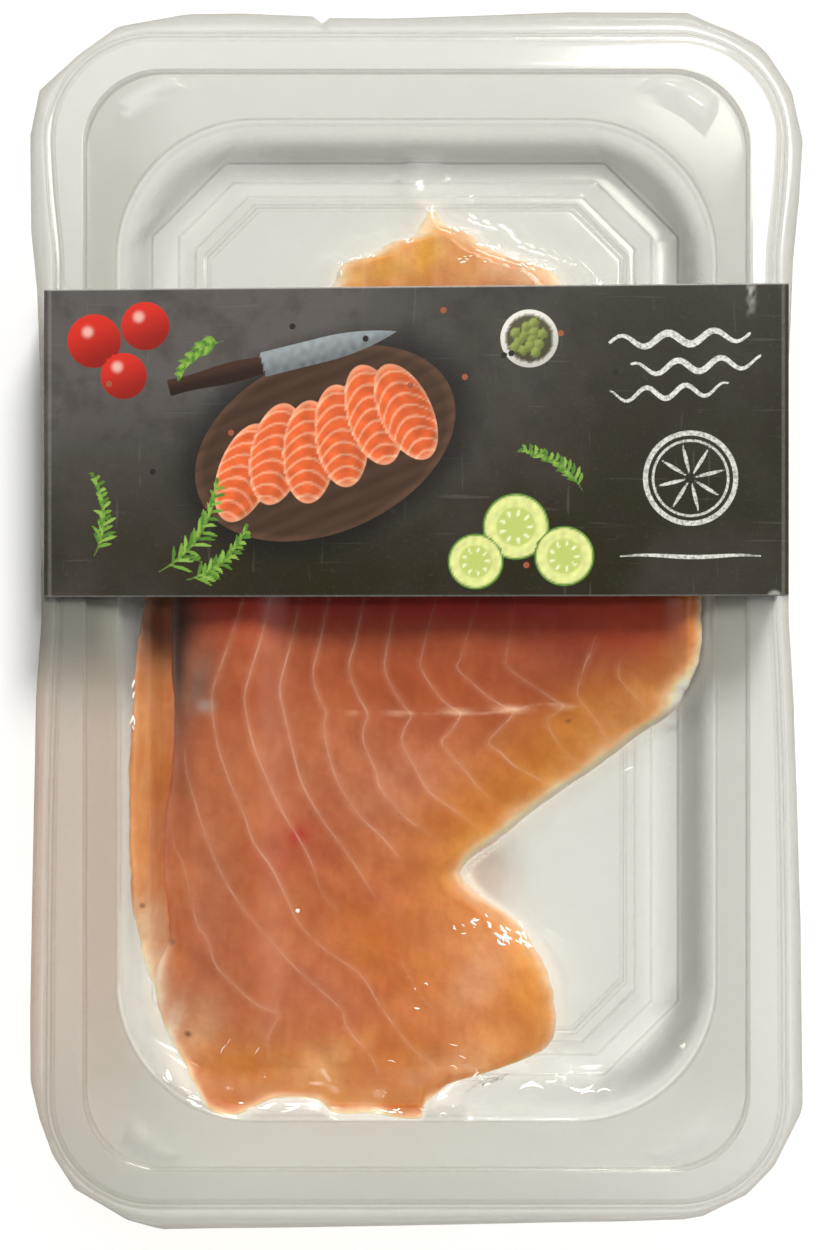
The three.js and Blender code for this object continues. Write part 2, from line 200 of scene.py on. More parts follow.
def rounded(stations, reach=0.28, steps=4):
    """Stations with each bend eased: round every inner station P runs the quadratic curve
    (1-t)^2 A + 2t(1-t) P + t^2 B from A, at most `reach` before it, to B, as far after it. A bend too
    slight to show stays one station. Also gives each new station's share of the bend, 1 in the
    middle of a sharp one."""
    rows, bends = [stations[:1]], [np.zeros(1)]
    t = np.linspace(0, 1, steps)[:, None]
    for before, here, after in zip(stations, stations[1:], stations[2:]):
        legs = [before - here, after - here]
        sizes = [math.hypot((leg[HALF_X] + leg[HALF_Y]) / 2, leg[HEIGHT]) for leg in legs]
        across = (legs[0][HALF_X] * legs[1][HALF_X] + legs[0][HALF_Y] * legs[1][HALF_Y]) / 2
        cosine = across + legs[0][HEIGHT] * legs[1][HEIGHT]
        sharp = math.sqrt(max(1 + cosine / max(sizes[0] * sizes[1], 1e-9), 0) / 2)
        if sharp < 0.03:
            rows.append(here[None])
            bends.append(np.zeros(1))
            continue
        start, end = (here + leg * min(reach / size, 0.45) for leg, size in zip(legs, sizes))
        rows.append((1 - t) ** 2 * start + 2 * t * (1 - t) * here + t ** 2 * end)
        bends.append(np.sin(math.pi * t[:, 0]) * min(sharp * 1.6, 1))
    rows.append(stations[-1:])
    bends.append(np.zeros(1))
    return np.concatenate(rows), np.concatenate(bends)


def raised(stations, distance):
    """Stations moved by a distance along the normal of their profile, with mitred bends."""
    reach = (stations[:, HALF_X] + stations[:, HALF_Y]) / 2
    step = np.stack([-np.diff(stations[:, HEIGHT]), np.diff(reach)], 1)
    step /= np.linalg.norm(step, axis=1)[:, None] + 1e-9
    before, after = np.vstack([step[:1], step]), np.vstack([step, step[-1:]])
    mitre = before + after
    mitre /= np.linalg.norm(mitre, axis=1)[:, None]
    mitre *= distance / np.maximum((mitre * before).sum(1), 0.4)[:, None]
    moved = stations.copy()
    moved[:, HALF_X] = np.maximum(moved[:, HALF_X] + mitre[:, 0], 0)
    moved[:, HALF_Y] += mitre[:, 0]
    moved[:, CORNER] = np.maximum(moved[:, CORNER] + mitre[:, 0] * (stations[:, CORNER] > 1), 0)
    moved[:, HEIGHT] += mitre[:, 1]
    return moved


def rings(stations, short, long):
    """Points of each station's closed outline, counter-clockwise: four corners, each between an arc
    and a straight cut, joined by straight sides of `short` and `long` steps."""
    half_x, half_y, corner, cut, z, pull = stations.T[:, :, None]
    turn = np.linspace(0, math.pi / 2, CORNER_POINTS)
    share = turn * 2 / math.pi
    ux = blend(np.cos(turn), 1 - share, cut)
    uy = blend(np.sin(turn), share, cut)
    quadrants = [(1, 1), (-1, 1), (-1, -1), (1, -1)]
    xs, ys = [], []
    for q, (sx, sy) in enumerate(quadrants):
        turned = [(ux, uy), (-uy, ux), (-ux, -uy), (uy, -ux)][q]
        x = sx * (half_x - corner) + corner * turned[0]
        y = sy * (half_y - corner) + corner * turned[1]
        nx, ny = quadrants[(q + 1) % 4]
        steps = long if sx == nx else short
        t = np.arange(1, steps) / steps
        xs += [x, x[:, -1:] + t * (nx - sx) * (half_x - corner)]
        ys += [y, y[:, -1:] + t * (ny - sy) * (half_y - corner)]
    x, y = np.concatenate(xs, 1), np.concatenate(ys, 1)
    x = x - np.sign(x) * pull * pinch(y)
    return np.stack([x, y, np.broadcast_to(z, x.shape)], -1)


def lug_heights(x, y):
    """Height of the ledge's crescent lugs: between an inner arc about the well's corner centre and an
    outer curve that bulges from it by s^0.5 (1-s), s along it, with sides that ease over 0.8 mm."""
    centre_x, centre_y = WELL_EDGE[HALF_X] - WELL_EDGE[CORNER], WELL_EDGE[HALF_Y] - WELL_EDGE[CORNER]
    dx, dy = np.abs(x) - centre_x, np.abs(y) - centre_y
    radius = np.hypot(dx, dy)
    share = np.clip((np.degrees(np.arctan2(dy, dx)) - LUG_FROM) / (LUG_TO - LUG_FROM), 0, 1)
    outer = LUG_RADIUS + LUG_BULGE * np.sqrt(share) * (1 - share)
    inside = np.minimum(radius - LUG_RADIUS, outer - radius)
    return LUG_HEIGHT * smooth(-0.1, 0.7, inside)


def foot_lug(x, y, lift=0.0):
    """Level of the half-round lug at the far wall's foot: flat inside its radius, and the floor's
    level elsewhere."""
    radius = np.hypot(x - FOOT_LUG_X, y - WALL_FOOT[HALF_Y] - 0.6)
    inside = smooth(FOOT_LUG_RADIUS + 0.6, FOOT_LUG_RADIUS, radius) * (y < WALL_FOOT[HALF_Y] + 1.2)
    return blend(FLOOR_Z, FLOOR_Z + lift + FOOT_LUG_HEIGHT, inside)


# ---- Fish ----------------------------------------------------------------------------------------

# x of the left and right edges of each slice at each y, from the far end to the near end.
MAIN_LEFT = (
    (77.6, 2.5), (75.6, 1.5), (73.2, 0), (72.2, -1.8), (71.6, -4.4), (70.2, -6.9), (69.0, -9.0),
    (68.2, -12.0), (67.0, -14.0), (63.5, -15.4), (55, -23), (41, -34.5), (23, -43), (4.5, -46),
    (-10, -46), (-20, -45.5), (-32, -46.5), (-40, -47.6), (-49.5, -47.2), (-59, -46.6), (-66, -48.8),
    (-70, -49.3), (-76, -47.6), (-82.5, -44.4), (-88, -41.6), (-91.4, -38.4),
)
MAIN_RIGHT = (
    (77.6, 3.3), (75.6, 4.4), (74.4, 6.6), (73.3, 9.8), (71.0, 12.8), (69.2, 16.8), (67.9, 21),
    (66.9, 24.6), (65.4, 26.6), (62, 29), (52.5, 40), (37, 48.5), (21, 52.6), (4, 53.6), (-8.5, 52.8),
    (-16.5, 49), (-22, 42.5), (-27.5, 35), (-34, 25.5), (-41.5, 16), (-47.5, 8.8), (-51.5, 11.2),
    (-57, 18.5), (-64.5, 24), (-73, 26.5), (-81.5, 24.5), (-86, 17), (-89, 9), (-91.4, 3),
)
UNDER_LEFT = (
    (9, -49), (4, -51), (-15, -53.2), (-34, -53.8), (-48.5, -53.6), (-56, -52.8), (-62, -51.8),
    (-68, -50.0), (-72, -48.2),
)
UNDER_RIGHT = ((9, -35), (-20, -33), (-45, -36), (-72, -41))

# The near end of the upper slice runs in and out: y of its edge less its mean, by x.
NEAR_EDGE = (
    (-42, 1.6), (-37.5, -0.6), (-33.4, -1.0), (-26.6, 1.4), (-18.3, 1.0), (-15.4, -0.8), (-8.4, -0.9),
    (0.8, -1.6), (1.6, 0.6), (6.0, 2.6),
)
CLEAR = 0.3  # space between a slice and what it lies on
SALMON_Z = PANEL_Z + CLEAR
EDGE_MAIN, EDGE_UNDER = 5.5, 3.2  # how far in the slices round up to their full thickness
WAIST = 0.35  # height of a slice's widest line, as a share of its thickness
HEADROOM = 0.6  # a slice's top stays this far below the ledge
LEAST_HEIGHT = 1.6  # but a slice is never made thinner than this
OVER_UNDER = 4.63  # how far the upper slice is lifted by the under slice
NEAR_RISE = 4.2  # and how far it rises at its near end
WALL_SLOPE = 1.55

# White lines of the fish from left to right: (y, x) along each, then (y, strength) along it.
WHITE_LINES = (
    (((3.7, -48.6), (-27.5, -46.3), (-42.4, -45.5), (-45.6, -43.8), (-57.4, -41.0), (-59.5, -39.5),
      (-62.3, -38.6), (-65.1, -37.4), (-69.3, -33.3), (-72.5, -29.4), (-74.2, -26.0), (-75.5, -26.3),
      (-78.3, -27.8), (-88.5, -28.2)),
     ((-37.7, 0), (-42.4, 0.4), (-52.7, 0.4), (-57.4, 0.85), (-74.2, 0.85), (-80.9, 0.4),
      (-83.2, 0))),
    (((3.7, -43.3), (-15.1, -43.7), (-27.5, -43.3), (-32.6, -42.0), (-41.6, -39.1), (-49.0, -35.8),
      (-54.8, -32.0), (-62.3, -25.6), (-66.5, -21.8), (-71.3, -16.2), (-73.6, -13.9), (-76.6, -13.0),
      (-82.8, -7.9), (-89.4, -4.9)),
     ((-22.6, 0), (-28.2, 0.8), (-56.1, 0.8), (-59.3, 0.3), (-63.1, 0.75), (-82.5, 0.75),
      (-84.7, 0))),
    (((3.7, -32.4), (-2.3, -34.4), (-8.1, -36.5), (-13.4, -38.3), (-16.8, -38.3), (-23.2, -37.3),
      (-29.9, -35.1), (-36.5, -32.2), (-41.6, -30.5), (-46.7, -27.1), (-51.8, -24.6), (-57.6, -21.8),
      (-62.3, -16.9), (-66.8, -10.5), (-72.1, -7.1), (-80.0, -1.3), (-84.3, 3.4), (-90.4, 4.0)),
     ((1.5, 0.7), (-3.8, 1), (-52.7, 1), (-56.5, 0.7), (-83.2, 0.8), (-85.7, 0))),
    (((3.7, -27.5), (-3.0, -29.0), (-10.2, -31.2), (-14.9, -32.2), (-23.2, -30.5), (-30.3, -27.8),
      (-36.2, -25.0), (-42.9, -21.1), (-47.1, -19.2), (-51.2, -17.9), (-56.9, -13.4), (-64.4, -5.8),
      (-74.4, 1.7), (-82.8, 7.3), (-89.4, 8.3)),
     ((1.5, 0.7), (-3.8, 1), (-45.6, 1), (-48.0, 0.4), (-53.7, 0.35), (-56.1, 0))),
    (((3.7, -21.8), (-4.3, -23.5), (-12.8, -25.6), (-17.7, -24.8), (-24.3, -23.3), (-30.7, -21.5),
      (-37.3, -17.9), (-43.7, -13.2), (-49.7, -9.2), (-56.1, -5.8), (-65.7, -2.3), (-73.4, 2.8),
      (-80.9, 10.2), (-89.4, 12.1)),
     ((1.5, 0.7), (-3.8, 1), (-45.2, 1), (-51.2, 0.5), (-53.1, 0), (-63.1, 0), (-65.9, 0.5),
      (-73.0, 0.5), (-74.9, 0))),
    (((3.7, -16.6), (-4.7, -18.2), (-10.2, -19.4), (-15.6, -17.9), (-17.5, -16.8), (-19.8, -17.3),
      (-25.6, -16.4), (-31.4, -14.3), (-37.3, -10.3), (-40.9, -6.4), (-44.8, -3.4), (-54.6, 0.8),
      (-68.7, 8.7), (-80.0, 13.9), (-89.4, 15.8)),
     ((1.5, 0.7), (-3.8, 1), (-43.3, 1), (-47.4, 0))),
    (((3.7, -9.8), (-3.8, -11.3), (-9.0, -12.6), (-14.5, -10.8), (-17.7, -9.1), (-20.7, -9.9),
      (-23.2, -9.8), (-28.2, -7.7), (-31.8, -6.6), (-36.9, -2.3), (-41.0, 3.2), (-45.6, 6.8),
      (-59.3, 11.7), (-76.2, 18.1), (-89.4, 20.3)),
     ((1.5, 0.7), (-3.8, 1), (-38.6, 1), (-42.4, 0))),
    (((3.7, -3.8), (-5.9, -5.6), (-8.7, -5.9), (-12.1, -4.9), (-17.0, -1.7), (-17.8, -0.8),
      (-20.3, -2.1), (-22.8, -2.7), (-27.9, -0.2), (-32.6, 2.8), (-37.0, 8.9), (-40.3, 12.2),
      (-49.0, 14.9), (-68.7, 21.1), (-89.4, 24.3)),
     ((1.5, 0.5), (-3.8, 0.9), (-36.2, 1), (-39.9, 0))),
    (((3.7, 3.8), (-5.9, 1.2), (-9.0, 1.0), (-14.5, 4.5), (-16.4, 6.6), (-17.6, 8.5), (-20.9, 6.6),
      (-23.2, 4.9), (-28.2, 9.2), (-32.8, 12.8), (-36.7, 16.9), (-52.7, 27.1), (-89.4, 34.6)),
     ((1.5, 0.3), (-3.8, 0.6), (-15.1, 0.8), (-17.3, 1), (-32.0, 0.8), (-35.0, 0))),
    (((3.7, 11.7), (-7.0, 8.5), (-9.0, 7.7), (-11.7, 10.4), (-14.7, 13.9), (-16.2, 16.4),
      (-17.4, 18.5), (-20.9, 15.4), (-23.2, 13.6), (-25.2, 16.2), (-27.5, 18.5), (-31.4, 25.4),
      (-36.7, 29.9), (-89.4, 42.2)),
     ((1.5, 0.2), (-5.7, 0.5), (-15.1, 0.8), (-17.3, 1), (-23.5, 0.9), (-31.1, 0.7), (-33.9, 0))),
    (((3.7, 18.6), (-7.0, 16.9), (-9.0, 17.3), (-13.6, 23.9), (-15.3, 26.5), (-16.3, 27.9),
      (-17.7, 26.2), (-19.0, 24.7), (-23.9, 27.3), (-26.4, 29.7), (-33.9, 36.5), (-89.4, 51.6)),
     ((1.5, 0.2), (-7.5, 0.6), (-13.2, 0.6), (-16.2, 0.9), (-19.2, 0.5), (-26.7, 0.5), (-30.1, 0))),
    (((3.7, 36.9), (-1.9, 34.6), (-6.6, 32.8), (-12.8, 30.5), (-14.5, 30.5), (-17.0, 32.4),
      (-19.4, 34.3), (-21.7, 35.4), (-32.0, 43.1), (-89.4, 61.0)),
     ((-1.9, 0), (-6.6, 0.9), (-13.2, 0.6), (-21.7, 0.5), (-25.4, 0))),
    (((3.7, 44.0), (-3.8, 39.9), (-9.0, 38.1), (-11.3, 38.5), (-15.4, 42.4), (-18.8, 45.0),
      (-28.2, 51.6), (-89.4, 70.4)),
     ((-6.6, 0), (-9.4, 0.6), (-15.1, 0.6), (-17.3, 0))),
    (((3.7, 53.5), (-5.7, 51.6), (-13.2, 52.5), (-26.4, 60.0), (-89.4, 83.6)),
     ((3.7, 0), (-15.1, 0))),
)
SEAM_Y, SEAM_RISE, SEAM_FROM, SEAM_TO = -17.6, 1.7, -3.0, 29.5  # line along the middle of the fish


def along(pairs, at):
    """Smooth line through (place, value) pairs: cubic spans with the slope of the chord between each
    point's neighbours."""
    place, value = np.array(sorted(pairs), float).T
    slope = np.gradient(value) / np.gradient(place)
    slope[1:-1] = (value[2:] - value[:-2]) / (place[2:] - place[:-2])
    i = np.clip(np.searchsorted(place, at) - 1, 0, len(place) - 2)
    span = place[i + 1] - place[i]
    t = np.clip((at - place[i]) / span, 0, 1)
    rise = t * t * (3 - 2 * t)
    ease = t * (1 - t) ** 2 * slope[i] - t * t * (1 - t) * slope[i + 1]
    return blend(value[i], value[i + 1], rise) + span * ease


def into_outline(station, x, y):
    """Distance into a station's outline with round corners, right where it is less than their
    radius."""
    dx = np.maximum(np.abs(x) - (station[HALF_X] - station[CORNER]), 0)
    dy = np.maximum(np.abs(y) - (station[HALF_Y] - station[CORNER]), 0)
    return station[CORNER] - np.hypot(dx, dy)


def wall_height(x, y):
    """Height of the well's wall, as a plain slope that lies a little over the true one."""
    return np.clip(WALL_TOP[HEIGHT] - WALL_SLOPE * into_outline(WALL_TOP, x, y), FLOOR_Z, LEDGE_Z)


def round_off(depth, radius):
    """0 at an edge, rising by (1 - (1 - t)^2)^0.65 to 1 at `radius` into it."""
    return (1 - (1 - np.clip(depth / radius, 0, 1)) ** 2) ** 0.65


def under_base(x, y):
    """Lower face of the under slice: the panel, or a little above the wall."""
    return np.maximum(SALMON_Z, wall_height(x, y) + CLEAR)


def main_base(x, y):
    """Lower face of the upper slice: on the panel, lifted over the under slice on its left and
    rising towards its near end, with a soft turn up the wall, (a + b + sqrt((a - b)^2 + 16)) / 2 of
    the two levels, and low lumps at the near end."""
    lift = OVER_UNDER * (1 - smooth(10, 18, y)) * (1 - smooth(-32, -22, x))
    rise = NEAR_RISE * smooth(-64, -92, y) * smooth(30, 10, x)
    lumps = 0.12 * ripples(x, y, 9, 41) * smooth(-70, -84, y)
    flat, wall = SALMON_Z + np.maximum(lift, rise), wall_height(x, y) + CLEAR
    return (flat + wall + np.sqrt((flat - wall) ** 2 + 16.0)) / 2 - 0.6 + lumps


def under_swell(x, y):
    """Thickness of the under slice against its mean."""
    return 1 + 0.12 * np.sin(0.21 * y)


def main_swell(x, y):
    """Thickness of the upper slice against its mean: soft waves, a fuller flap, a thin left side and
    near end."""
    wave = (0.05 * np.sin(0.12 * y + 0.05 * x) + 0.04 * np.sin(0.15 * x - 0.04 * y)) * smooth(60, 40, y)
    flap = 0.12 * np.exp(-(((x - 14) / 11) ** 2) - ((y + 66) / 14) ** 2)
    return (1 + wave + flap - 0.35 * (1 - smooth(-44, -22, x))) * (1 - 0.5 * smooth(-64, -90, y))


def near_edge(x, y):
    """How far a point of the upper slice is moved along y, so that its near end runs in and out."""
    return along(NEAR_EDGE, x) * smooth(-80, -91.4, y)


def full_height(plan, sizes, x, y, level):
    """Height of a slice away from its edges: its thickness times its swell, kept below the ledge."""
    room = np.maximum(LEDGE_Z - HEADROOM - level, LEAST_HEIGHT)
    return np.minimum(getattr(sizes, plan.thick) / MM * plan.swell(x, y), room)


def into_ends(plan, y):
    """Distance into a slice from the nearer of its far and near ends."""
    return np.minimum(plan.left[0][0] - y, y - plan.left[-1][0])


def slice_depth(plan, x, y):
    """Distance into a slice from its outline, negative outside it."""
    inside = np.minimum(x - along(plan.left, y), along(plan.right, y) - x)
    return np.minimum(inside, into_ends(plan, y))


def line_field(x, y):
    """Where each point lies among the white lines: its index, which is whole on a line and runs evenly
    between two; the distance between those two, square to them; and how strongly they show. Each row
    of x has one y."""
    run = lambda pairs, at: along(pairs, np.clip(at, pairs[-1][0], pairs[0][0]))
    lines = np.stack([run(path, y) for path, _ in WHITE_LINES])
    slopes = np.stack([run(path, y + 0.6) - run(path, y - 0.6) for path, _ in WHITE_LINES]) / 1.2
    square = 1 / np.hypot(1, slopes)
    shown = np.stack([np.interp(y, *np.array(ends[::-1]).T) for _, ends in WHITE_LINES])
    left = np.clip((x[None] > lines).sum(0) - 1, 0, len(lines) - 2)
    row = np.arange(x.shape[0])[:, None]
    pick = lambda values, k: values[k, row, 0]
    gap = pick(lines, left + 1) - pick(lines, left)
    share = (x - pick(lines, left)) / gap
    inside = np.clip(share, 0, 1)
    apart = gap * blend(pick(square, left), pick(square, left + 1), inside)
    strength = blend(pick(shown, left), pick(shown, left + 1), inside)
    return left + share, apart, strength * smooth(0.6, 0.4, np.abs(share - inside))


# Soft patches of colour on the upper slice: x, y, half sizes, turn in degrees, colour, strength.
MAIN_PATCHES = (
    (0, -12, 62, 12, 0, "A8501E", 0.95),
    (33, -7, 14, 7, 0, "8C3E22", 0.75),
    # Painted shadow: the flesh under the sleeve's near edge, where its shadow falls, painted a deep red.
    (2, 3.5, 90, 6.5, 0, "B01800", 0.98),
    (42, 1.5, 14, 6, 0, "C63C08", 0.8),
    (-16, -31, 22, 11, -35, "BC744A", 0.7),
    (-2, -33, 11, 8, 0, "C07A55", 0.8),
    (2, -42, 7, 5, 0, "C47E52", 0.7),
    (25, -25, 22, 7, 38, "C07A1C", 0.9),
    (12, -39, 12, 7, 40, "C47A20", 0.9),
    (38, -20, 12, 4.5, 40, "C58646", 0.8),
    (15, -64, 13, 20, 10, "DA9048", 0.9),
    (20, -58, 5, 10, 20, "DC9A5A", 0.6),
    (11, -68, 5, 9, -25, "DCA278", 0.85),
    (21, -73, 4.5, 9, 0, "DA8F36", 0.8),
    (-4, -60, 11, 14, 22, "C66E1C", 0.9),
    (-6, -52, 4, 6, 30, "C07048", 0.6),
    (4, -38.5, 6, 4, 40, "B05A10", 0.6),
    (3, -60, 7, 6, 20, "D48C50", 0.65),
    (-38, -55, 4.5, 20, 0, "AC6640", 0.8),
    (-20, -69, 17, 6, -28, "BA6C46", 0.8),
    (2, -81, 22, 7, 0, "C47530", 0.85),
    (-31, -78, 9, 7, 0, "BC7244", 0.8),
    (-41, -78, 3.2, 7, -20, "D6AC80", 0.75),
    (-30, -84, 14, 4.5, -8, "C4823E", 0.9),
    (-18, -84, 7, 4, 20, "CE9C64", 0.8),
    # Partly the near end's own amber, partly painted shade where it climbs the wall and faces the key
    # light.
    (6, -86, 14, 4.0, 0, "AE6830", 0.9),
    (9, -83, 9, 3.4, 14, "DCA878", 0.6),
    (17, -78, 6, 4, 20, "E0A058", 0.5),
    # Partly the near end's own amber, partly painted shade where it climbs the wall and faces the key
    # light.
    (-14, -90.5, 32, 3.4, 0, "BC7C3C", 0.85),
    (-48.5, -69, 2.2, 6, 0, "DABC96", 0.8),
    (-46.4, -77, 1.8, 6, -22, "E0CCAC", 0.8),
    (-22.2, -42, 8, 7, 0, "B2522E", 0.75),
    (-22.2, -40.7, 1.3, 1.3, 0, "B80E06", 0.97),
    # Painted shade: dark at the top under the sleeve's shadow, and down the groove where the upper slice
    # lies over the under one.
    (-44.0, 0, 4.0, 8, 0, "5A2E1C", 0.85),
    (-44.8, -8, 2.0, 15, 0, "2A120A", 0.95),
    (-40.9, -12, 3.0, 7, -14, "83604F", 0.9),
    (-43.5, -30, 2.2, 10, 0, "965434", 0.7),
    (-39.5, -16, 1.6, 1.2, 0, "A89388", 0.9),
    (4, 70, 26, 9, 0, "D8A066", 1.0),
    (2, 69.0, 2.6, 5, -10, "D09418", 0.9),
    (-5.5, 66.5, 3.4, 3.5, 10, "DCA848", 0.8),
    (-11, 64.8, 2.8, 2.6, 0, "E0B258", 0.8),
    (22, 66, 12, 4, -15, "DEBA94", 0.85),
    (9, 68, 5, 4, -15, "D89A50", 0.6),
)
UNDER_PATCHES = (
    (-52, -28, 4, 44, 0, "CC8C4C", 0.9),
    (-48, -30, 2.0, 30, 0, "BC7434", 0.8),
    # Painted shadow of the sleeve at the top of the under slice.
    (-50.5, -2, 4.5, 8, 0, "6E3A1C", 0.8),
    (-51, -57, 4.5, 5, 0, "D0AC84", 0.9),
    (-50, -65, 4.5, 5, 0, "D8BC98", 0.85),
)
# Specks on the slices: x, y, size
SPECKS = ((-45.9, -60.6, 0.6), (-51.4, -53.6, 0.5), (-42.9, -77.9, 0.6), (29.0, -19.0, 0.35))
# Knots of fat where white lines meet the line along the middle: x, y, half sizes, strength
KNOTS = ((7.6, -17.3, 2.4, 0.55, 0.8), (17.9, -16.9, 3.0, 0.6, 0.9), (-3.4, -17.6, 2.0, 0.5, 0.6),
         (28.0, -16.4, 2.2, 0.5, 0.5), (-11.8, -17.6, 1.2, 0.4, 0.35))


def patch(x, y, cx, cy, half_a, half_b, turn=0):
    """A soft ellipse, exp(-d^2) of the distance from its centre scaled by its turned half sizes."""
    c, s = math.cos(math.radians(turn)), math.sin(math.radians(turn))
    u = ((x - cx) * c + (y - cy) * s) / half_a
    v = ((y - cy) * c - (x - cx) * s) / half_b
    return np.exp(-(u ** 2 + v ** 2))


def dyed(colours, code, share):
    """Colours mixed with one colour, a share of it at each point."""
    return blend(colours, np.array(linear(code)), share[..., None])


def painted(x, y, depth, base, patches):
    """Colours from a base colour and soft patches, then knots of fat, specks, and the edge, where thin
    flesh turns amber and then cream, each exp(-(depth / width)^2) of its strength: partly the paler
    colour of thin flesh, partly painted light that shines through it. Both run wider along the slanting
    edge, as painted light where it leans away from the key light, and the cream at the far end too."""
    colours = np.tile(np.array(base), (*x.shape, 1))
    for *ellipse, code, strength in patches:
        colours = dyed(colours, code, strength * patch(x, y, *ellipse))
    for *ellipse, strength in KNOTS:
        colours = dyed(colours, "EBC09C", strength * patch(x, y, *ellipse))
    for px, py, size in SPECKS:
        colours = dyed(colours, "5A2A1C", 0.75 * np.exp(-((np.hypot(x - px, y - py) / size) ** 4)))
    uneven = 1 + 0.17 * ripples(x, y, 9, 17)
    # Painted light: the edge colours run wider along the slant, which leans away from the key light.
    slant = smooth(-2, -14, y) * smooth(-58, -44, y) * smooth(4, 12, x)
    amber = (0.6 + 0.15 * slant) * np.exp(-((depth / ((4.2 + 1.6 * slant) * uneven)) ** 2))
    colours = dyed(colours, "DDA04A", amber * smooth(-38, -26, x) * smooth(-88, -80, y))
    wide = np.maximum(slant, 0.8 * smooth(57, 64, y))
    cream = (0.5 + 0.45 * wide) * np.exp(-((depth / (1.1 * uneven * (1 + 1.9 * wide))) ** 2))
    over_under = smooth(-30, -40, x) * smooth(-64, -58, y)
    return dyed(colours, "FBE8C6", cream * (1 - 0.85 * over_under))


# Both slices. `thick` names a size, `edge` is how far in the rim is rounded off, `rows` and `across`
# count the mesh's steps, and `grain` seeds its ripples.
Slice = namedtuple("Slice", "name node left right base swell thick edge rows across grain patches")
MAIN = Slice(
    "salmon_main", "salmon_main_slice", MAIN_LEFT, MAIN_RIGHT, main_base, main_swell, "main_thick",
    EDGE_MAIN, 400, 112, 21, MAIN_PATCHES,
)
UNDER = Slice(
    "salmon_under", "salmon_under_slice", UNDER_LEFT, UNDER_RIGHT, under_base, under_swell,
    "under_thick", EDGE_UNDER, 220, 40, 31, UNDER_PATCHES,
)


# ---- Meshes --------------------------------------------------------------------------------------


def quads(rows, columns):
    """Faces of a grid of points that closes round its columns and faces up where its rows run out
    from the middle, counter-clockwise."""
    i, j = np.arange(rows - 1)[:, None], np.arange(columns)[None]
    here, beside = i * columns + j, i * columns + (j + 1) % columns
    return np.stack([here, here + columns, beside + columns, beside], -1).reshape(-1, 4)


def put(name, points, faces, attributes=(), recalculate=False):
    """Writes a mesh object from points in millimetres and named attributes, one value or vector for
    each point. Points that coincide are merged, so that poles and seams are closed."""
    mesh = bpy.data.meshes.new(name)
    mesh.from_pydata(points.reshape(-1, 3) * MM, [], faces)
    for key, values in dict(attributes).items():
        vector = values.size == points.size
        made = mesh.attributes.new(key, "FLOAT_VECTOR" if vector else "FLOAT", "POINT")
        made.data.foreach_set("vector" if vector else "value", values.astype(np.float32).ravel())
    shaped = bmesh.new()
    shaped.from_mesh(mesh)
    bmesh.ops.remove_doubles(shaped, verts=shaped.verts, dist=0.002 * MM)
    bmesh.ops.dissolve_degenerate(shaped, edges=shaped.edges, dist=0.0005 * MM)
    if recalculate:
        bmesh.ops.recalc_face_normals(shaped, faces=shaped.faces)
    shaped.to_mesh(mesh)
    shaped.free()
    mesh.shade_smooth()
    made = bpy.data.objects.new(name, mesh)
    bpy.context.scene.collection.objects.link(made)
    return made


def thicken(piece, thickness):
    """Gives a clear sheet its thickness, below its upper face, and lets light through it."""
    piece.visible_shadow = False
    wall = piece.modifiers.new("wall", "SOLIDIFY")
    wall.thickness = thickness
    wall.offset = -1
    wall.use_even_offset = False
    return piece


def finish_piece(piece, material, node):
    """Gives a piece its material, hides the solid that it stands for, and parents it to the body it moves
    with.
    """
    piece.data.materials.append(material)
    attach(piece, BODY)
    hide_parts(node)


class Piece:
    """What the operators share: each builds its piece from the scene's sizes and colours."""

    def execute(self, context):
        self.build(context.scene.salmon_pack_sizes, context.scene.salmon_pack_colours)
        return {"FINISHED"}


# ---- Shader expressions --------------------------------------------------------------------------


class Wire:
    """A node's output in an expression: its operators add Math nodes."""

    def __init__(self, shader, socket):
        self.shader = shader
        self.socket = socket

    def math(self, operation, *values):
        return self.shader.node("Math", {"operation": operation}, dict(enumerate(values)))

    def __add__(self, other):
        return self.math("ADD", self, other)

    def __sub__(self, other):
        return self.math("SUBTRACT", self, other)

    def __rsub__(self, other):
        return self.math("SUBTRACT", other, self)

    def __mul__(self, other):
        return self.math("MULTIPLY", self, other)

    def __truediv__(self, other):
        return self.math("DIVIDE", self, other)

    def __pow__(self, other):
        return self.math("POWER", self, other)

    def __abs__(self):
        return self.math("ABSOLUTE", self)

    def fraction(self):
        return self.math("FRACT", self)

    __radd__ = __add__
    __rmul__ = __mul__


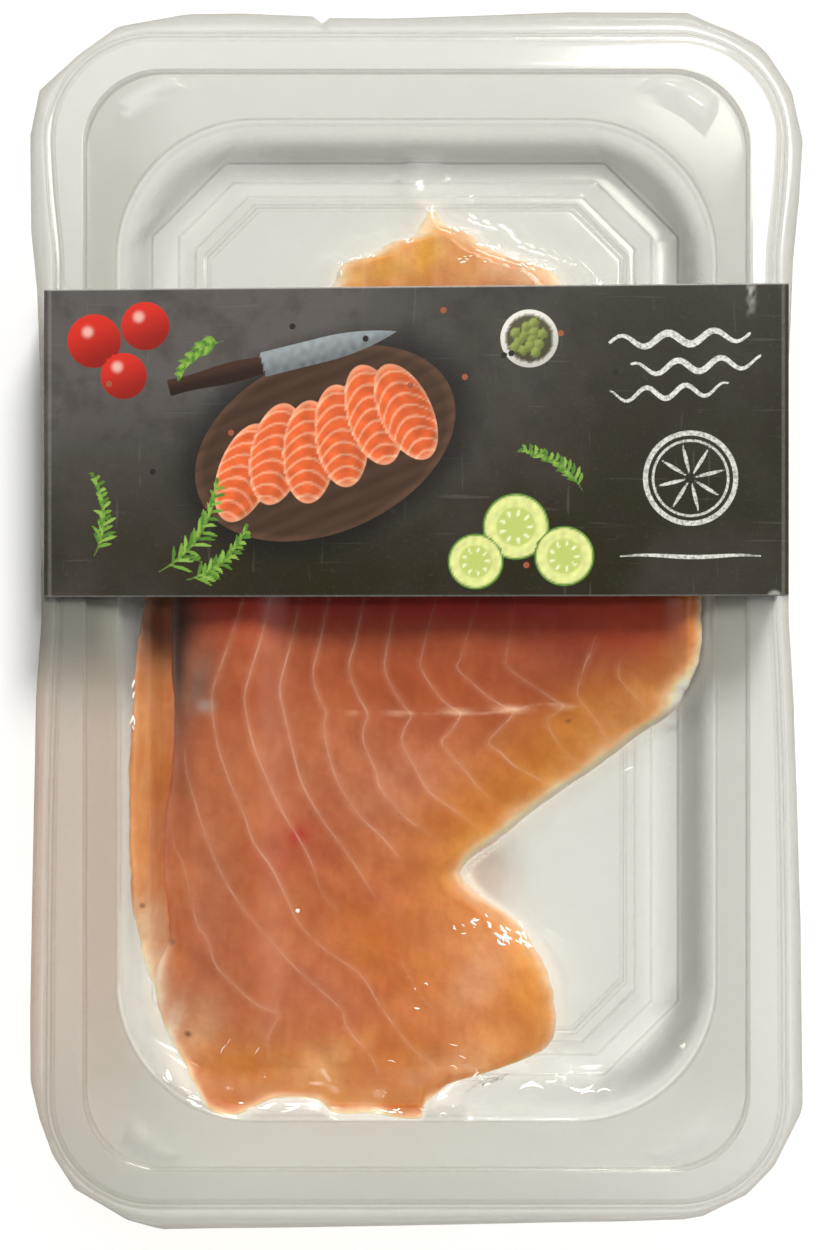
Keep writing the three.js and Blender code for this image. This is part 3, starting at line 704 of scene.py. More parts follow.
class Shader:
    """A node tree under construction, of a new material or of a given owner."""

    def __init__(self, name, owner=None):
        self.owner = owner or bpy.data.materials.new(name)
        self.owner.use_nodes = True
        self.tree = self.owner.node_tree
        self.tree.nodes.clear()

    def node(self, kind, settings=(), inputs=(), output=0):
        """Adds a node: first its settings, then values or wires by socket."""
        made = self.tree.nodes.new("ShaderNode" + kind)
        for key, value in dict(settings).items():
            setattr(made, key, value)
        for key, value in dict(inputs).items():
            if isinstance(value, Wire):
                self.tree.links.new(value.socket, made.inputs[key])
            else:
                made.inputs[key].default_value = value
        return Wire(self, made.outputs[output])

    def smooth(self, low, high, value):
        """0 below low and 1 above high, eased."""
        inputs = {"Value": value, "From Min": low, "From Max": high}
        return self.node("MapRange", {"interpolation_type": "SMOOTHSTEP"}, inputs)

    def mix(self, share, a, b):
        """The colour a share of the way from a to b."""
        return self.node("Mix", {"data_type": "RGBA"}, {0: share, 6: a, 7: b}, output=2)

    def tone(self, share, colour, low, high):
        """The colour times a factor a share of the way from low to high."""
        factor = self.mix(share, solid(low), solid(high))
        settings = {"data_type": "RGBA", "blend_type": "MULTIPLY", "clamp_result": False}
        return self.node("Mix", settings, {0: 1.0, 6: colour, 7: factor}, output=2)

    def painted_even_light(self, colour, lit, unlit):
        """Painted light: the colour times `lit` where the surface leans towards the key light and times
        `unlit` where it leans away, standing in for light through thin pieces that evens them out."""
        away = Vector((-SUN_FROM[0], -SUN_FROM[1], 0)).normalized()
        lean = self.dot(self.node("NewGeometry", output=1), away)
        colour = self.tone(self.smooth(0.02, 0.75, lean), colour, (1, 1, 1), (unlit,) * 3)
        return self.tone(self.smooth(-0.02, -0.75, lean), colour, (1, 1, 1), (lit,) * 3)

    def place(self, scale=(1, 1, 1)):
        """Object coordinates in millimetres, stretched."""
        coordinates = self.node("TexCoord", output=3)
        return self.node("Mapping", {}, {0: coordinates, "Scale": [s / MM for s in scale]})

    def position(self):
        """x and y in millimetres."""
        place = self.place()
        return self.part(place, 0), self.part(place, 1)

    def noise(self, wavelength, detail, stretch=(1, 1, 1), rough=0.5):
        """Noise of 0 to 1 whose main lumps are about `wavelength` millimetres across."""
        return self.node("TexNoise", {}, {
            "Vector": self.place(stretch), "Scale": 1 / wavelength, "Detail": detail, "Roughness": rough,
        })

    def part(self, vector, axis):
        """One coordinate of a vector."""
        return self.node("SeparateXYZ", {}, {0: vector}, output=axis)

    def dot(self, a, b):
        """The product of two vectors, a number."""
        return self.node("VectorMath", {"operation": "DOT_PRODUCT"}, {0: a, 1: b}, output=1)

    def read(self, name, vector=False):
        """A mesh attribute: a number, or a vector used as a colour."""
        return self.node("Attribute", {"attribute_name": name}, output=1 if vector else 2)

    def bump(self, height, distance):
        """A normal from a height of 0 to 1 that stands for `distance` millimetres."""
        return self.node("Bump", {}, {"Height": height, "Distance": distance * MM, "Strength": 1.0})

    def clamp(self, value):
        """A value kept between 0 and 1."""
        return self.node("Clamp", {}, {0: value})

    def finish(self, surface, kind="Material"):
        """Joins the surface to an output and gives the owner of the tree."""
        end = self.tree.nodes.new("ShaderNodeOutput" + kind)
        self.tree.links.new(surface.socket, end.inputs["Surface"])
        return self.owner


def clear_plastic(name, rough, sloped):
    """Clear plastic: light goes straight through, less a smoky share, which is an attribute of haze and
    painted shade, and `sloped` times the square of how far the surface stands from level, painted shade
    on slopes, and less a mirrored share of 0.036 + 0.9 f^5, where f is 0 face on and 1 edge on, and
    which the dull attribute dims."""
    s = Shader(name)
    facing = s.node("LayerWeight", {}, {"Blend": 0.5}, output=1)
    mirror = (0.036 + 0.9 * facing ** 5) * (1 - 0.85 * s.read("dull"))
    steep = 1 - abs(s.part(s.node("NewGeometry", output=1), 2))
    share = s.read("veil_and_shade") + steep * steep * sloped + mirror
    gloss = s.clamp(mirror / share)
    through = s.node("BsdfTransparent", {}, {"Color": solid((0.995, 0.995, 0.99))})
    # Painted light: the smoke's colour is lighter where the sheet leans away from the key light and
    # darker where it leans towards it.
    smoke_and_shade = s.painted_even_light(s.read("smoke_and_shade", vector=True), 0.72, 1.7)
    skin = s.node("BsdfPrincipled", {}, {
        "Base Color": s.mix(gloss, smoke_and_shade, solid((1.0, 1.0, 0.98))), "Metallic": gloss,
        "Roughness": rough, "Specular IOR Level": 0.1,
    })
    return s.finish(s.node("MixShader", {}, {0: s.clamp(share), 1: through, 2: skin}))


def glint_white(name):
    """Painted glints: pale, glossy white film standing in for highlights on the creases, a little uneven.
    """
    s = Shader(name)
    pale = s.mix(s.noise(1.2, 2), solid(linear("EDE6D6")), solid(linear("FFFDF6")))
    surface = s.node("BsdfPrincipled", {}, {"Base Color": pale, "Roughness": 0.25, "Coat Weight": 0.5})
    return s.finish(surface)


def fish_flesh(name, colours, sizes):
    """Moist fish: painted flesh, white lines where the line index is whole, fine mottling."""
    s = Shader(name)
    broad, fine = s.noise(11, 3), s.noise(1.4, 4, rough=0.65)
    streak = s.noise(2.4, 3, stretch=(1.0, 0.5, 1.0))
    index = s.read("line_index") + (broad - 0.5) * 0.05 + (fine - 0.5) * 0.035
    off = abs((index + 0.5).fraction() - 0.5) * s.read("line_gap")
    shown, width = s.read("line_shown"), sizes.line / MM
    line = (1 - s.smooth(width * 0.1, width * 1.1, off)) * s.smooth(0.25, 0.7, streak) * shown
    halo = (1 - s.smooth(0.1, 1.3, off)) * shown
    px, py = s.position()
    beside = abs(py - SEAM_Y - SEAM_RISE * s.smooth(12, 26, px) + (broad - 0.5) * 1.2)
    in_seam = s.smooth(SEAM_FROM - 1, SEAM_FROM + 3, px) * (1 - s.smooth(SEAM_TO - 4, SEAM_TO, px))
    seam = (1 - s.smooth(0.05, 0.5, beside)) * in_seam * s.smooth(0.3, 0.7, streak)
    colour = s.read("flesh", vector=True)
    colour = s.tone(s.smooth(0.3, 0.7, broad), colour, (0.92, 0.86, 0.82), (1.06, 1.14, 1.22))
    colour = s.tone(s.smooth(0.35, 0.75, streak), colour, (1.03, 1.05, 1.06), (0.95, 0.88, 0.82))
    colour = s.tone(s.smooth(0.35, 0.75, fine), colour, (0.98, 0.95, 0.93), (1.03, 1.07, 1.12))
    band = s.smooth(0.0, 1.0, index.fraction()) * shown
    colour = s.tone(band, colour, (1.02, 1.03, 1.06), (0.97, 0.92, 0.88))
    fatty = s.clamp(halo * 0.09 + line * 0.3 + seam * 0.34)
    # Painted light: lighter where the flesh leans away from the key light, darker where it leans towards
    # it.
    colour = s.painted_even_light(s.mix(fatty, colour, solid(colours.fat)), 0.7, 1.9)
    relief = fine * 0.5 + streak * 0.3 - fatty * 0.4
    surface = s.node("BsdfPrincipled", {}, {
        "Base Color": colour, "Roughness": 0.5, "IOR": 1.38, "Specular IOR Level": 0.18,
        "Subsurface Weight": 0.7, "Subsurface Radius": (1.0, 0.45, 0.2), "Subsurface Scale": 3.0 * MM,
        "Normal": s.bump(relief, 0.15),
    })
    return s.finish(surface)


# ---- Stage ---------------------------------------------------------------------------------------

CAMERA_AT = (-10.0, 11.0)  # over the pack
VIEW_MIDDLE = (-1.02, -0.84)  # what the middle of the picture shows
SENSOR = 36.0
FLOOR_HALF = 2000.0
GLARE_AT, GLARE_AIM = (0.175, 0.24, 1.1), (0.055, 0.09, 0)  # a small lamp, mirrored by the far right
SUN_FROM = (0.22, 0.74, 0.64)  # direction towards the main light
WINDOW_FROM = (0.38, 0.86, 0.30)  # and towards the brightest part of the room


def lamp(name, kind, place, aim, power, settings):
    """A light at a place, turned to what it is aimed at."""
    light = bpy.data.lights.new(name, kind)
    light.energy = power
    for key, value in settings.items():
        setattr(light, key, value)
    made = bpy.data.objects.new(name, light)
    made.location = place
    made.rotation_euler = (Vector(aim) - Vector(place)).to_track_quat("-Z", "Y").to_euler()
    bpy.context.scene.collection.objects.link(made)


class SALMONPACK_OT_stage(Piece, bpy.types.Operator):
    """Pale floor, soft lights and a camera that looks down on the pack"""

    bl_idname = "salmonpack.stage"
    bl_label = "Stage"

    def build(self, sizes, colours):
        scene = bpy.context.scene
        scene.view_settings.view_transform = "Standard"

        s = Shader("floor")
        surface = s.node("BsdfPrincipled", {}, {
            "Base Color": solid(colours.floor), "Roughness": 0.8, "Specular IOR Level": 0.1,
        })
        corners = np.array([(-1, -1, 0), (1, -1, 0), (1, 1, 0), (-1, 1, 0)]) * FLOOR_HALF
        floor = put("floor", corners, [(0, 1, 2, 3)])
        floor.data.materials.append(s.finish(surface))

        scene.world = bpy.data.worlds.new("studio")
        s = Shader("studio", scene.world)
        towards = s.dot(s.node("TexCoord"), Vector(WINDOW_FROM).normalized())
        up = s.part(s.node("TexCoord"), 2)
        light = 0.05 + 0.33 * (1 - s.smooth(0.55, 0.92, up)) + 0.85 * s.smooth(0.35, 0.95, towards)
        s.finish(s.node("Background", {}, {"Color": solid((1, 1, 1)), "Strength": light}), "World")
        sun = {"angle": math.radians(20), "color": (1.0, 0.99, 0.97)}
        lamp("key", "SUN", SUN_FROM, (0, 0, 0), 3.15, sun)
        lamp("glare", "AREA", GLARE_AT, GLARE_AIM, 1.5, {"size": 0.135})

        data = bpy.data.cameras.new("camera")
        data.sensor_width = SENSOR
        data.lens = SENSOR * sizes.camera_height / sizes.view_height
        view = sizes.view_height / MM
        data.shift_x, data.shift_y = ((m - c) / view for m, c in zip(VIEW_MIDDLE, CAMERA_AT))
        camera = bpy.data.objects.new("camera", data)
        flange = (FLANGE_Z + 0.6) * MM
        camera.location = (CAMERA_AT[0] * MM, CAMERA_AT[1] * MM, flange + sizes.camera_height)
        scene.collection.objects.link(camera)
        scene.camera = camera


# ---- Tray and film -------------------------------------------------------------------------------

# Smoky share of each clear sheet where it is flat, and the painted shade that a sharp bend adds, a
# dark line where the bend turns light aside
TRAY_VEIL_AND_SHADE, FILM_VEIL_AND_SHADE = (0.085, 0.27), (0.07, 0.15)
EDGE_VEIL = (0.3, 0.36)  # and of the film's two outermost rings
SHARP_BEND = 0.8  # how much less dull a sharp bend is


def tray_stations(to_edge):
    """Stations from the middle line of the panel out: evenly spaced rings on the panel, a faint moulded
    line near its edge, the gutter, the wall, the ledge and the flange."""
    panel = np.array(PANEL, float)
    inset = lambda by, drop=0.0: panel - (by, by, PANEL[CORNER] * by / PANEL[HALF_X], 0, drop, 0)
    line = [inset(INNER_LINE + out, drop) for out, drop in ((1.2, 0), (0.6, 0), (0, 0.16), (-0.6, 0))]
    rows = [
        spread(inset(PANEL[HALF_X]), line[0], to_edge), line, [PANEL, GUTTER_IN, GUTTER_OUT],
        spread(WALL_FOOT, WALL_TOP, 7), [WALL_TOP], spread(WELL_EDGE, LEDGE_OUT, 9), [LEDGE_OUT],
        spread(FLANGE_IN, BEAD_IN, 4), [BEAD_IN, BEAD_TOP, FLANGE_OUT],
    ]
    return np.concatenate([np.asarray(row, float) for row in rows])


def smoke_and_shade(veil_and_shade, points, lift, colour, band):
    """Smoky share, colour and dullness of each point of a clear sheet that lies `lift` above the tray.

    The share is its station's own, more on the flange and the ledge, more again as painted shade at
    the left and the near end, standing in for the pack's shadow on the floor below, more on the wall
    in the near left corner, and more at the sleeve's near left end as painted shadow of the sleeve.
    Where `band` is 1, a dark band of painted shade runs round the foot of the well's wall, widest at
    the far end, which stands away from the light, and gone at the near left. The ledge is dull, and so
    are the flange's left side, by less, and the floor's far right corner."""
    x, y, z = points[..., 0], points[..., 1], points[..., 2] - lift
    flange = smooth(LEDGE_Z + 0.4, FLANGE_Z, z)
    ledge = smooth(LEDGE_Z - 0.4, LEDGE_Z - 0.1, z) - flange
    # Painted shade: darker towards the left and the near end, standing in for the pack's shadow on the
    # floor below.
    left_near_shade = smooth(-0.3, 0.9, -0.75 * x / FLANGE_OUT[HALF_X] - 0.9 * y / FLANGE_OUT[HALF_Y])
    beside = smooth(40, 56, np.abs(x)) * (1 - smooth(80, 98, np.abs(y)))
    near_left = smooth(-30, -60, x) * smooth(-60, -100, y)
    share = veil_and_shade + flange * (0.035 + 0.11 * left_near_shade) + ledge * (0.07 + 0.04 * beside + 0.04 * left_near_shade)
    share = share + near_left * (0.05 + 0.18 * (z < LEDGE_Z - 0.6))
    share = share + 0.05 * ledge * smooth(-40, -60, x) * (1 - near_left)

    # Painted shade: a dark band round the foot of the well's wall, and the sleeve's shadow at its near
    # left end; both also darken the colour.
    depth, far = into_outline(WELL_EDGE, x, y), smooth(50, 80, y)
    starts = smooth(blend(0.6, 2.0, far), blend(3.4, 5.0, far), depth)
    ends = smooth(blend(4.2, 5.4, far), blend(8.0, 13.0, far), depth)
    fades = smooth(-95, -62, y + 0.3 * x) * (1 - 0.5 * smooth(-20, -50, x))
    foot = band * starts * (1 - ends) * fades
    sleeve_shadow = 0.14 * smooth(-14, -2, y) * smooth(16, 8, y) * smooth(-55, -61, x)
    share = share + 0.31 * foot + sleeve_shadow + 0.04 * smooth(10, 15, depth)
    tinted = dyed(np.array(colour), "4A473F", np.clip(foot * 1.4 + sleeve_shadow * 4, 0, 1))

    far_right = smooth(10, 30, x) * smooth(55, 75, y) * (1 - smooth(PANEL_Z + 0.6, PANEL_Z + 2, z))
    dull = 0.9 * ledge + 0.6 * flange * smooth(-30, -60, x) + 0.85 * far_right
    return share, tinted, dull


def with_lugs(points, lift=0.0):
    """Raises the points of a tray or film surface over the lugs."""
    x, y, z = points[..., 0], points[..., 1], points[..., 2].copy()
    on_ledge = smooth(LEDGE_Z - 0.3, LEDGE_Z, z) * (1 - smooth(FLANGE_Z - 0.2, FLANGE_Z, z))
    z += lug_heights(x, y) * np.where(z < LEDGE_Z + lift + 0.3, on_ledge, 0)
    z = np.maximum(z, foot_lug(x, y, lift))
    return np.stack([x, y, z], -1)


class SALMONPACK_OT_tray(Piece, bpy.types.Operator):
    """Clear tray: nested outlines carried from the panel out to the lip"""

    bl_idname = "salmonpack.tray"
    bl_label = "Tray"

    def build(self, sizes, colours):
        stations, bend = rounded(np.vstack([tray_stations(6), LIP]))
        points = with_lugs(rings(stations, 80, 130))
        bend = bend[:, None]
        veil_and_shade = TRAY_VEIL_AND_SHADE[0] + TRAY_VEIL_AND_SHADE[1] * bend
        share, colour, dull = smoke_and_shade(veil_and_shade, points, 0, colours.plastic, 1)
        looks = {"veil_and_shade": share, "smoke_and_shade": colour, "dull": dull * (1 - SHARP_BEND * bend)}
        tray = thicken(put("clear_tray", points, quads(*points.shape[:2]), looks), sizes.tray_wall)
        finish_piece(tray, clear_plastic("clear_tray", 0.1, 0.1), "tray")


# The film's trimmed edge: x, y of the ends of its straight cuts, counter-clockwise.
FILM_CUTS = (
    (72.0, 89.5), (69.9, 98.8), (65.5, 105.6), (63.6, 107.4), (58.5, 110.0), (55.0, 111.3), (50.6, 113.3),
    (28.6, 113.4), (6.3, 112.6), (-5.5, 112.2), (-16.6, 112.3), (-18.1, 110.6), (-19.2, 112.6),
    (-33.0, 113.2), (-42.9, 113.0), (-55.6, 110.7), (-62.9, 105.5), (-70.3, 98.8), (-72.0, 90.3),
    (-71.8, 72.7), (-70.7, 61.5), (-70.0, 43), (-69.9, 0), (-70.9, -14.0), (-71.3, -33.4), (-72.0, -72.6),
    (-71.9, -85.8), (-70.3, -92.9), (-67.9, -99.6), (-63.8, -105.9), (-53.9, -111.7), (-47.6, -113.4),
    (-27.0, -113.2), (17.4, -112.4), (49.8, -111.7), (53.4, -111.1), (61.6, -107.0), (66.6, -101.8),
    (71.6, -91.9), (72.0, -89.9), (71.6, -55.8), (70.3, -14.9), (69.4, 0), (69.2, 43), (70.2, 67.1),
    (71.3, 78.3),
)


def cut_edge(x, y):
    """Points on the film's trimmed edge in the direction of each given point: the ray from the origin
    crosses the straight cut from a to b at the distance (a x b) / (direction x (b - a)) along it."""
    ends = np.array(FILM_CUTS, float)
    turn = np.mod(np.arctan2(ends[:, 1], ends[:, 0]), math.tau)
    ends = ends[np.argsort(turn)]
    turn = np.sort(turn)
    i = np.searchsorted(turn, np.mod(np.arctan2(y, x), math.tau)) % len(ends)
    here, there = ends[i - 1], ends[i]
    step = there - here
    size = np.hypot(x, y)
    dx, dy = x / size, y / size
    reach = here[..., 0] * step[..., 1] - here[..., 1] * step[..., 0]
    reach = reach / (dx * step[..., 1] - dy * step[..., 0])
    return reach * dx, reach * dy


FILM_OFF = 0.8  # the film leaves a slice this far outside its outline,
FILM_EDGE = WAIST + 0.25  # at this share of its height


def film_over(plan, sizes, x, y, reach):
    """Level of the film over one slice. From where it leaves the slice it rises inwards to the slice's
    top by 1 - (1 - t)^2, with t the depth over the slice's own edge, and falls outwards in a hollow
    slope, (1 - d/reach)^1.8."""
    depth = slice_depth(plan, x, y) + FILM_OFF
    level = plan.base(x, y)
    inside = FILM_EDGE + (1 - FILM_EDGE) * (1 - (1 - np.clip(depth / plan.edge, 0, 1)) ** 2)
    outside = FILM_EDGE * np.clip(1 + depth / reach, 0, 1) ** 1.8
    rise = np.where(depth > 0, inside, outside)
    return np.where(depth > -reach, level + full_height(plan, sizes, x, y, level) * rise, FLOOR_Z)


def pocket(x, y):
    """1 in the middle of the hollow that the film bridges between the two lobes of the fish."""
    return np.exp(-(((x - 13) / 6) ** 2) - ((y + 48) / 8) ** 2)


def drawn_over(x, y, z, sizes, above):
    """Level of the film: z, which follows the tray, or in the well that over the fish where it is
    higher, with ripples below the ledge that fade towards the far end."""
    reach = sizes.film_reach / MM * (1 + 0.25 * ripples(x, y, 14, 5)) + 4 * pocket(x, y)
    well = smooth(-0.5, 1.5, into_outline(WELL_EDGE, x, y))
    shaped = y - near_edge(x, y)
    for plan in (MAIN, UNDER):
        level = np.minimum(film_over(plan, sizes, x, shaped, reach), LEDGE_Z) + above
        z = np.where(well > 0, np.maximum(z, blend(z, level, well)), z)
    return z + 0.05 * ripples(x, y, 9, 8) * (z < LEDGE_Z) * (1 - 0.85 * smooth(45, 60, y))


# Groups of small creases in the film, painted white as glints: middle x, y, half spreads, turn, how
# many, length, width.
CREASES = (
    (18.0, -59.3, 2.6, 1.8, -40, 16, 1.7, 0.55), (12.5, -57.0, 2.2, 1.4, -35, 9, 1.2, 0.36),
    (9.0, -58.5, 2.5, 1.2, -20, 5, 0.8, 0.25), (20.6, -60.6, 0.8, 1.2, -50, 4, 1.9, 0.5),
    (-42.6, -89.6, 1.8, 0.9, -32, 5, 3.0, 0.55), (-46.6, -85.2, 0.5, 1.8, -62, 3, 1.8, 0.45),
    (-28, -91.0, 7, 0.6, 14, 7, 2.8, 0.4), (-2, -91.6, 7, 0.5, 4, 8, 1.8, 0.38),
    (24.0, -87.6, 2.5, 0.3, 2, 3, 4.0, 0.5), (33.0, -88.6, 2.5, 0.3, 3, 3, 4.4, 0.45),
    (-22.4, -54.9, 0.2, 0.2, 20, 2, 1.0, 0.7), (-53.2, -16, 0.5, 6, 80, 5, 1.5, 0.35),
    (14, 70.2, 2.6, 0.8, -35, 9, 1.1, 0.38), (7.5, 73.6, 2.2, 0.6, -25, 7, 1.0, 0.36),
    (2.6, 77.2, 0.9, 0.6, 0, 4, 1.0, 0.4), (-2.5, 71.5, 2.2, 0.5, 20, 6, 0.9, 0.32),
    (-9.5, 68.4, 2.8, 0.6, 20, 7, 0.9, 0.32), (-14, 66.2, 0.8, 1.5, 65, 4, 0.9, 0.32),
    (23, 66.6, 3.0, 0.6, -15, 10, 1.2, 0.4), (18.5, 68.2, 2.2, 0.4, -20, 5, 1.0, 0.34),
    (10.3, 68.0, 4.2, 0.7, -15, 6, 0.9, 0.28), (13, -86.5, 2.0, 1.2, 30, 4, 1.6, 0.3),
    (2, -71, 3, 2.5, -50, 3, 0.9, 0.28), (41.0, -28.4, 0.8, 0.3, 18, 2, 2.4, 0.35),
    (-34, -78, 5, 3, 60, 3, 1.8, 0.14), (2, -82, 8, 2, -20, 4, 1.8, 0.16),
    (50.2, -79.8, 0.3, 0.3, 30, 2, 1.2, 0.5),
)
CREASE_STEPS, CREASE_ACROSS = 9, 7
CREASE_LOW, CREASE_HIGH = -0.4, 0.44  # its lower face against its upper one, and that against its width


def creases(sizes, above):
    """Points of the film's creases, each a thin lens along a bent line: half width w sqrt(1 - u^2) and
    height h w (1 - v^2)^2 (1 - u^2) over the film, with u along it and v across it, both -1 to 1."""
    draw = np.random.default_rng(77)
    groups = np.repeat(np.array(CREASES), [int(group[5]) for group in CREASES], axis=0)
    count = len(groups)
    place = groups[:, :2] + groups[:, 2:4] * draw.uniform(-1, 1, (count, 2))
    turn = groups[:, 4] + draw.normal(0, 20, count) / np.maximum(groups[:, 6], 0.8)
    turn = np.radians(turn)[:, None, None]
    size = draw.uniform(0.5, 1.35, count)
    long, wide = ((groups[:, k] * size / 2)[:, None, None] for k in (6, 7))
    u = np.linspace(-1, 1, CREASE_STEPS)[None, :, None]
    v = np.linspace(-1, 1, CREASE_ACROSS)
    v = np.concatenate([v, v[-2:0:-1]])[None, None]
    high = CREASE_HIGH * np.where(np.arange(v.size) < CREASE_ACROSS, 1, CREASE_LOW)[None, None]
    bend = draw.normal(0, 0.25, count)[:, None, None] * long * u ** 2
    ahead, aside = long * u, wide * np.sqrt(1 - u ** 2) * v + bend
    x = place[:, 0, None, None] + ahead * np.cos(turn) - aside * np.sin(turn)
    y = place[:, 1, None, None] + ahead * np.sin(turn) + aside * np.cos(turn)
    floor = np.where(into_outline(WELL_EDGE, x, y) > 12, PANEL_Z, FLOOR_Z)
    level = drawn_over(x, y, np.maximum(wall_height(x, y), floor) + above, sizes, above)
    return np.stack([x, y, level + 0.02 + high * wide * (1 - v ** 2) ** 2 * (1 - u ** 2)], -1)


def film_sheet(sizes, above):
    """Points of the film, `above` the tray: the tray's stations raised, two rings out to the trimmed
    edge, which droops by 0.25 and a random ripple, and all drawn over the fish. Also gives each
    ring's smoky share, and its share of a bend."""
    stations, bend = rounded(tray_stations(42), steps=3)
    points = with_lugs(rings(raised(stations, above), 62, 128), above)
    edge = points[-1].copy()
    edge[:, 0], edge[:, 1] = cut_edge(edge[:, 0], edge[:, 1])
    between = blend(points[-1], edge, 0.5)
    edge[:, 2] -= 0.25 + 0.2 * ripples(edge[:, 0], edge[:, 1], 26, 3)
    points = np.concatenate([points, between[None], edge[None]])
    points[..., 2] = drawn_over(*points.transpose(2, 0, 1), sizes, above)
    veil_and_shade = np.concatenate([FILM_VEIL_AND_SHADE[0] + FILM_VEIL_AND_SHADE[1] * bend, EDGE_VEIL])
    return points, veil_and_shade[:, None], np.append(bend, (0, 0))[:, None]


def film_looks(points, veil_and_shade, bend, above, colour):
    """Smoky share, colour and dullness of the film: clearer over the fish, tinted along its left with a
    painted reflection of the fish, warm in the pocket, and with a cream fringe round the fish, painted
    light that covers the shade at its edge."""
    x, y, z = points.transpose(2, 0, 1)
    share, tinted, dull = smoke_and_shade(veil_and_shade, points, above, colour, 0)
    depth = slice_depth(MAIN, x, y - near_edge(x, y))
    over_under = smooth(-1.0, 1.0, slice_depth(UNDER, x, y))
    over_fish = np.maximum(smooth(-1.0, 1.0, depth), over_under)
    # Painted reflection: the fish's warm colour on the ledge and flange along the left.
    fish_reflection = smooth(-49, -58, x) * smooth(-2, -24, y) * smooth(-112, -60, y) * (z > LEDGE_Z)
    hollow = pocket(x, y)
    # Painted light: a cream fringe just outside the fish, standing in for light through its thin edge.
    fringe = smooth(0.4, -0.6, depth) * smooth(-3.2, -1.0, depth) * (z < LEDGE_Z)
    share = share * (1 - 0.93 * over_fish) + (0.3 * hollow + 0.05 * fish_reflection) * (1 - over_fish)
    tinted = dyed(tinted, "B98460", 0.5 * np.maximum(fish_reflection, hollow))
    tinted = dyed(tinted, "E8DCC4", 0.9 * fringe)
    dull = np.maximum(dull, np.maximum(smooth(-76, -84, y), 0.85 * smooth(55, 62, y)) * over_fish)
    dull = np.maximum(dull, 0.8 * hollow * (1 - over_fish))
    dull[-2:] = 0.9
    return {"veil_and_shade": share + 0.05 * fringe, "smoke_and_shade": tinted, "dull": dull * (1 - SHARP_BEND * bend)}


class SALMONPACK_OT_film(Piece, bpy.types.Operator):
    """Skin film: the tray's outlines again, raised, drawn over the fish, creased and trimmed"""

    bl_idname = "salmonpack.film"
    bl_label = "Film"

    def build(self, sizes, colours):
        above = (sizes.film_gap + sizes.film_wall) / MM
        points, veil_and_shade, bend = film_sheet(sizes, above)
        looks = film_looks(points, veil_and_shade, bend, above, colours.film)
        film = thicken(put("skin_film", points, quads(*points.shape[:2]), looks), sizes.film_wall)
        finish_piece(film, clear_plastic("clear_film", 0.08, 0.04), "film")

        points = creases(sizes, above)
        one = quads(*points.shape[1:3])
        each = points.shape[1] * points.shape[2]
        faces = (one[None] + each * np.arange(len(points))[:, None, None]).reshape(-1, 4)
        # Painted glints: the creases are opaque white where the film would catch the light.
        glint_creases = put("film_glint_creases", points, faces, recalculate=True)
        glint_creases.visible_shadow = False
        finish_piece(glint_creases, glint_white("film_glint_crease"), "film")


# ---- Slices --------------------------------------------------------------------------------------


def slice_mesh(plan, sizes):
    """Points of a slice: each row across it runs over the upper face and back along the lower one, and
    its height is rounded off towards every edge. Also gives x, y and the distance from the rim."""
    t = np.linspace(0, 1, plan.rows)
    ends = plan.left[0][0], plan.left[-1][0]
    y = blend(*ends, blend(t, (1 - np.cos(math.pi * t)) / 2, 0.6))[:, None]
    u = np.linspace(0, 1, plan.across)
    u = blend((1 - np.cos(math.pi * u)) / 2, u, 0.35)
    wander = 0.34 * ripples(y, y * 0, 9, plan.grain) + 0.12 * ripples(y, y * 0, 2.6, plan.grain + 1)
    x0, x1 = along(plan.left, y) + 0.5 * wander, along(plan.right, y) - 0.8 * wander[::-1]
    x = blend(x0, x1, u)
    end = round_off(into_ends(plan, y), plan.edge)
    moved = y + near_edge(x, y) * (plan is MAIN)
    level = plan.base(x, moved)
    height = full_height(plan, sizes, x, y, level) * end
    depth = np.minimum(u, 1 - u) * (x1 - x0)
    round_in = round_off(depth, plan.edge)
    relief = 0.10 * ripples(x, y, 7, plan.grain + 2) * smooth(0, 3, depth) * end
    waist = level + WAIST * height
    upper = np.stack([x, moved, waist + (1 - WAIST) * height * round_in + relief], -1)
    lower = np.stack([x, moved, waist - WAIST * height * round_in], -1)
    back = lambda over, under: np.concatenate([over, under[:, -2:0:-1]], 1)
    rim = np.minimum(depth, into_ends(plan, y))
    return back(upper, lower), *(back(values, values) for values in (x, moved, rim))


class SALMONPACK_OT_salmon(Piece, bpy.types.Operator):
    """Two slices of salmon, each worked out in rows across it"""

    bl_idname = "salmonpack.salmon"
    bl_label = "Salmon"

    def build(self, sizes, colours):
        material = fish_flesh("salmon", colours, sizes)
        for plan in (MAIN, UNDER):
            points, x, y, rim = slice_mesh(plan, sizes)
            index, gap, shown = line_field(x, y[:, :1])
            looks = {
                "flesh": painted(x, y, rim, colours.flesh, plan.patches), "line_index": index,
                "line_gap": gap, "line_shown": shown * (plan is MAIN),
            }
            piece = put(plan.name, points, quads(*points.shape[:2]), looks, recalculate=True)
            piece.visible_shadow = False
            finish_piece(piece, material, plan.node)


# ---- Sleeve --------------------------------------------------------------------------------------

SLEEVE_HALF = 69.4
SLEEVE_TOP = SLEEVE_HIGH[2] - 0.1
FOLD = 0.9
# y of the sleeve's near and far cut edges at its left and right folds
NEAR_CUT, FAR_CUT = (4.35, 4.6), (61.6, 62.85)
SLEEVE_ROWS, TOP_POINTS, SIDE_POINTS, BOTTOM_POINTS = 158, 400, 8, 34

